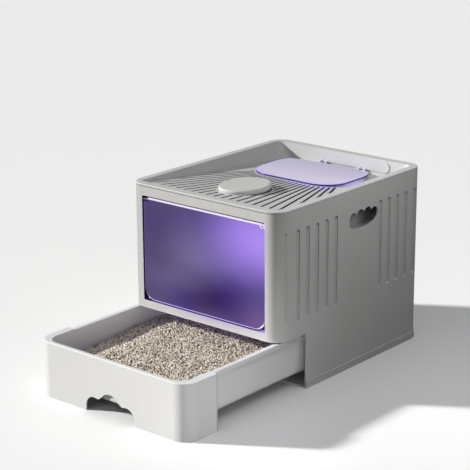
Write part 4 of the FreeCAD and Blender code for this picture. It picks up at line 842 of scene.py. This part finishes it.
def make_grains():
    """Loose grains: crushed eight-sided lumps, each with its own size, turn and squeeze."""
    draw = random.Random(GRAIN_SEED)
    corners = np.array([(1, 0, 0), (-1, 0, 0), (0, 1, 0), (0, -1, 0), (0, 0, 1), (0, 0, -1)], float)
    count = len(corners)
    triples = []
    for a in (0, 1):
        for b in (2, 3):
            for c in (4, 5):
                outward = (a + b + c) % 2 == 0
                triples.append((a, b, c) if outward else (a, c, b))
    triples = np.array(triples)
    all_points = []
    all_faces = []
    for column in range(int(2 * BED_HALF_X / GRAIN_PITCH) + 1):
        for row in range(int(2 * BED_HALF_Y / GRAIN_PITCH) + 1):
            x = -BED_HALF_X + column * GRAIN_PITCH + draw.uniform(-0.5, 0.5) * GRAIN_PITCH
            y = TRAY_MIDDLE - BED_HALF_Y + row * GRAIN_PITCH + draw.uniform(-0.5, 0.5) * GRAIN_PITCH
            size = GRAIN_SIZE * draw.uniform(*GRAIN_SIZES)
            if not inside_tray(x, y, size + GRAIN_MARGIN):
                continue
            squeeze = np.array([draw.uniform(*GRAIN_SQUEEZE) for _ in range(3)])
            wobble = np.array([draw.uniform(*GRAIN_WOBBLE) for _ in range(count)])[:, None]
            shape = corners * wobble * squeeze * size
            axis = Vector((draw.gauss(0, 1), draw.gauss(0, 1), draw.gauss(0, 1))).normalized()
            turned = np.array(Matrix.Rotation(draw.uniform(0, math.tau), 3, axis)) @ shape.T
            lift = size * draw.uniform(*GRAIN_LIFT)
            height = min(heap_height(x, y) + lift, TRAY_HIGH.z - size * GRAIN_BELOW_TOP)
            all_faces.append(triples + len(all_points) * count)
            all_points.append(turned.T + np.array((x, y, height)))
    verts = np.concatenate(all_points)
    tris = np.concatenate(all_faces)
    mesh = bpy.data.meshes.new("litter_grains")
    mesh.vertices.add(len(verts))
    mesh.vertices.foreach_set("co", verts.astype(np.float32).ravel())
    mesh.loops.add(tris.size)
    mesh.loops.foreach_set("vertex_index", tris.astype(np.int32).ravel())
    mesh.polygons.add(len(tris))
    mesh.polygons.foreach_set("loop_start", np.arange(0, tris.size, 3, dtype=np.int32))
    mesh.update(calc_edges=True)
    mesh.validate()
    mesh.materials.append(granule_finish().material)
    grains = put("litter_grains", mesh)
    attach(grains, "drawer")


def make_lights():
    """Low key from the left front, with soft fills beside, in front and inside the cabin."""
    data = bpy.data.lights.new("key_light", "SUN")
    data.energy = SUN_STRENGTH
    data.angle = SUN_ANGLE
    data.color = SUN_COLOUR
    key = put("key_light", data)
    key.rotation_euler = SUN_TOWARDS.to_track_quat("Z", "Y").to_euler()
    for name, place, aim, size, power, spread in SOFT_LIGHTS:
        data = bpy.data.lights.new(name, "AREA")
        data.spread = spread
        data.energy = power
        data.size = size
        light = put(name, data)
        light.location = place
        light.rotation_euler = (Vector(place) - Vector(aim)).to_track_quat("Z", "Y").to_euler()
    bpy.data.lights["cabin_glow"].color = GLOW_COLOUR


def make_sky():
    """Pale sky, brighter overhead, with a plain backdrop for the camera."""
    world = bpy.data.worlds.new("studio")
    world.use_nodes = True
    bpy.context.scene.world = world
    tree = world.node_tree
    tree.nodes.clear()
    sky = tree.nodes.new("ShaderNodeBackground")
    sky.inputs["Color"].default_value = (*SKY_COLOUR, 1.0)
    toward = tree.nodes.new("ShaderNodeTexCoord")
    split = tree.nodes.new("ShaderNodeSeparateXYZ")
    climb = tree.nodes.new("ShaderNodeMapRange")
    climb.inputs["To Min"].default_value = SKY_HORIZON
    climb.inputs["To Max"].default_value = SKY_ZENITH
    tree.links.new(toward.outputs["Generated"], split.inputs["Vector"])
    tree.links.new(split.outputs["Z"], climb.inputs["Value"])
    tree.links.new(climb.outputs["Result"], sky.inputs["Strength"])
    backdrop = tree.nodes.new("ShaderNodeBackground")
    backdrop.inputs["Color"].default_value = (*BACKDROP_COLOUR, 1.0)
    path = tree.nodes.new("ShaderNodeLightPath")
    mix = tree.nodes.new("ShaderNodeMixShader")
    output = tree.nodes.new("ShaderNodeOutputWorld")
    tree.links.new(path.outputs["Is Camera Ray"], mix.inputs["Fac"])
    tree.links.new(sky.outputs[0], mix.inputs[1])
    tree.links.new(backdrop.outputs[0], mix.inputs[2])
    tree.links.new(mix.outputs[0], output.inputs["Surface"])


def make_floor():
    """Plain pale floor that bounces less light than it shows."""
    half = STUDIO_SIZE / 2
    corners = [(-half, -half, 0), (half, -half, 0), (half, half, 0), (-half, half, 0)]
    mesh = bpy.data.meshes.new("studio_floor")
    mesh.from_pydata(corners, [], [(0, 1, 2, 3)])
    graph = Graph("floor_pale")
    graph.tree.nodes.remove(graph.shader)
    shown = graph.add("ShaderNodeBsdfDiffuse")
    shown.inputs["Color"].default_value = (*STUDIO_COLOUR, 1.0)
    bounced = graph.add("ShaderNodeBsdfDiffuse")
    bounced.inputs["Color"].default_value = (*STUDIO_BOUNCE, 1.0)
    mix = graph.add("ShaderNodeMixShader")
    graph.link(graph.add("ShaderNodeLightPath").outputs["Is Camera Ray"], mix.inputs["Fac"])
    graph.link(bounced.outputs[0], mix.inputs[1])
    graph.link(shown.outputs[0], mix.inputs[2])
    graph.link(mix.outputs[0], graph.output.inputs["Surface"])
    mesh.materials.append(graph.material)
    put("studio_floor", mesh)


bpy.context.scene.view_settings.view_transform = "Standard"
make_camera()
make_lights()
make_sky()
make_floor()
dress_nodes()
make_bed()
make_grains()
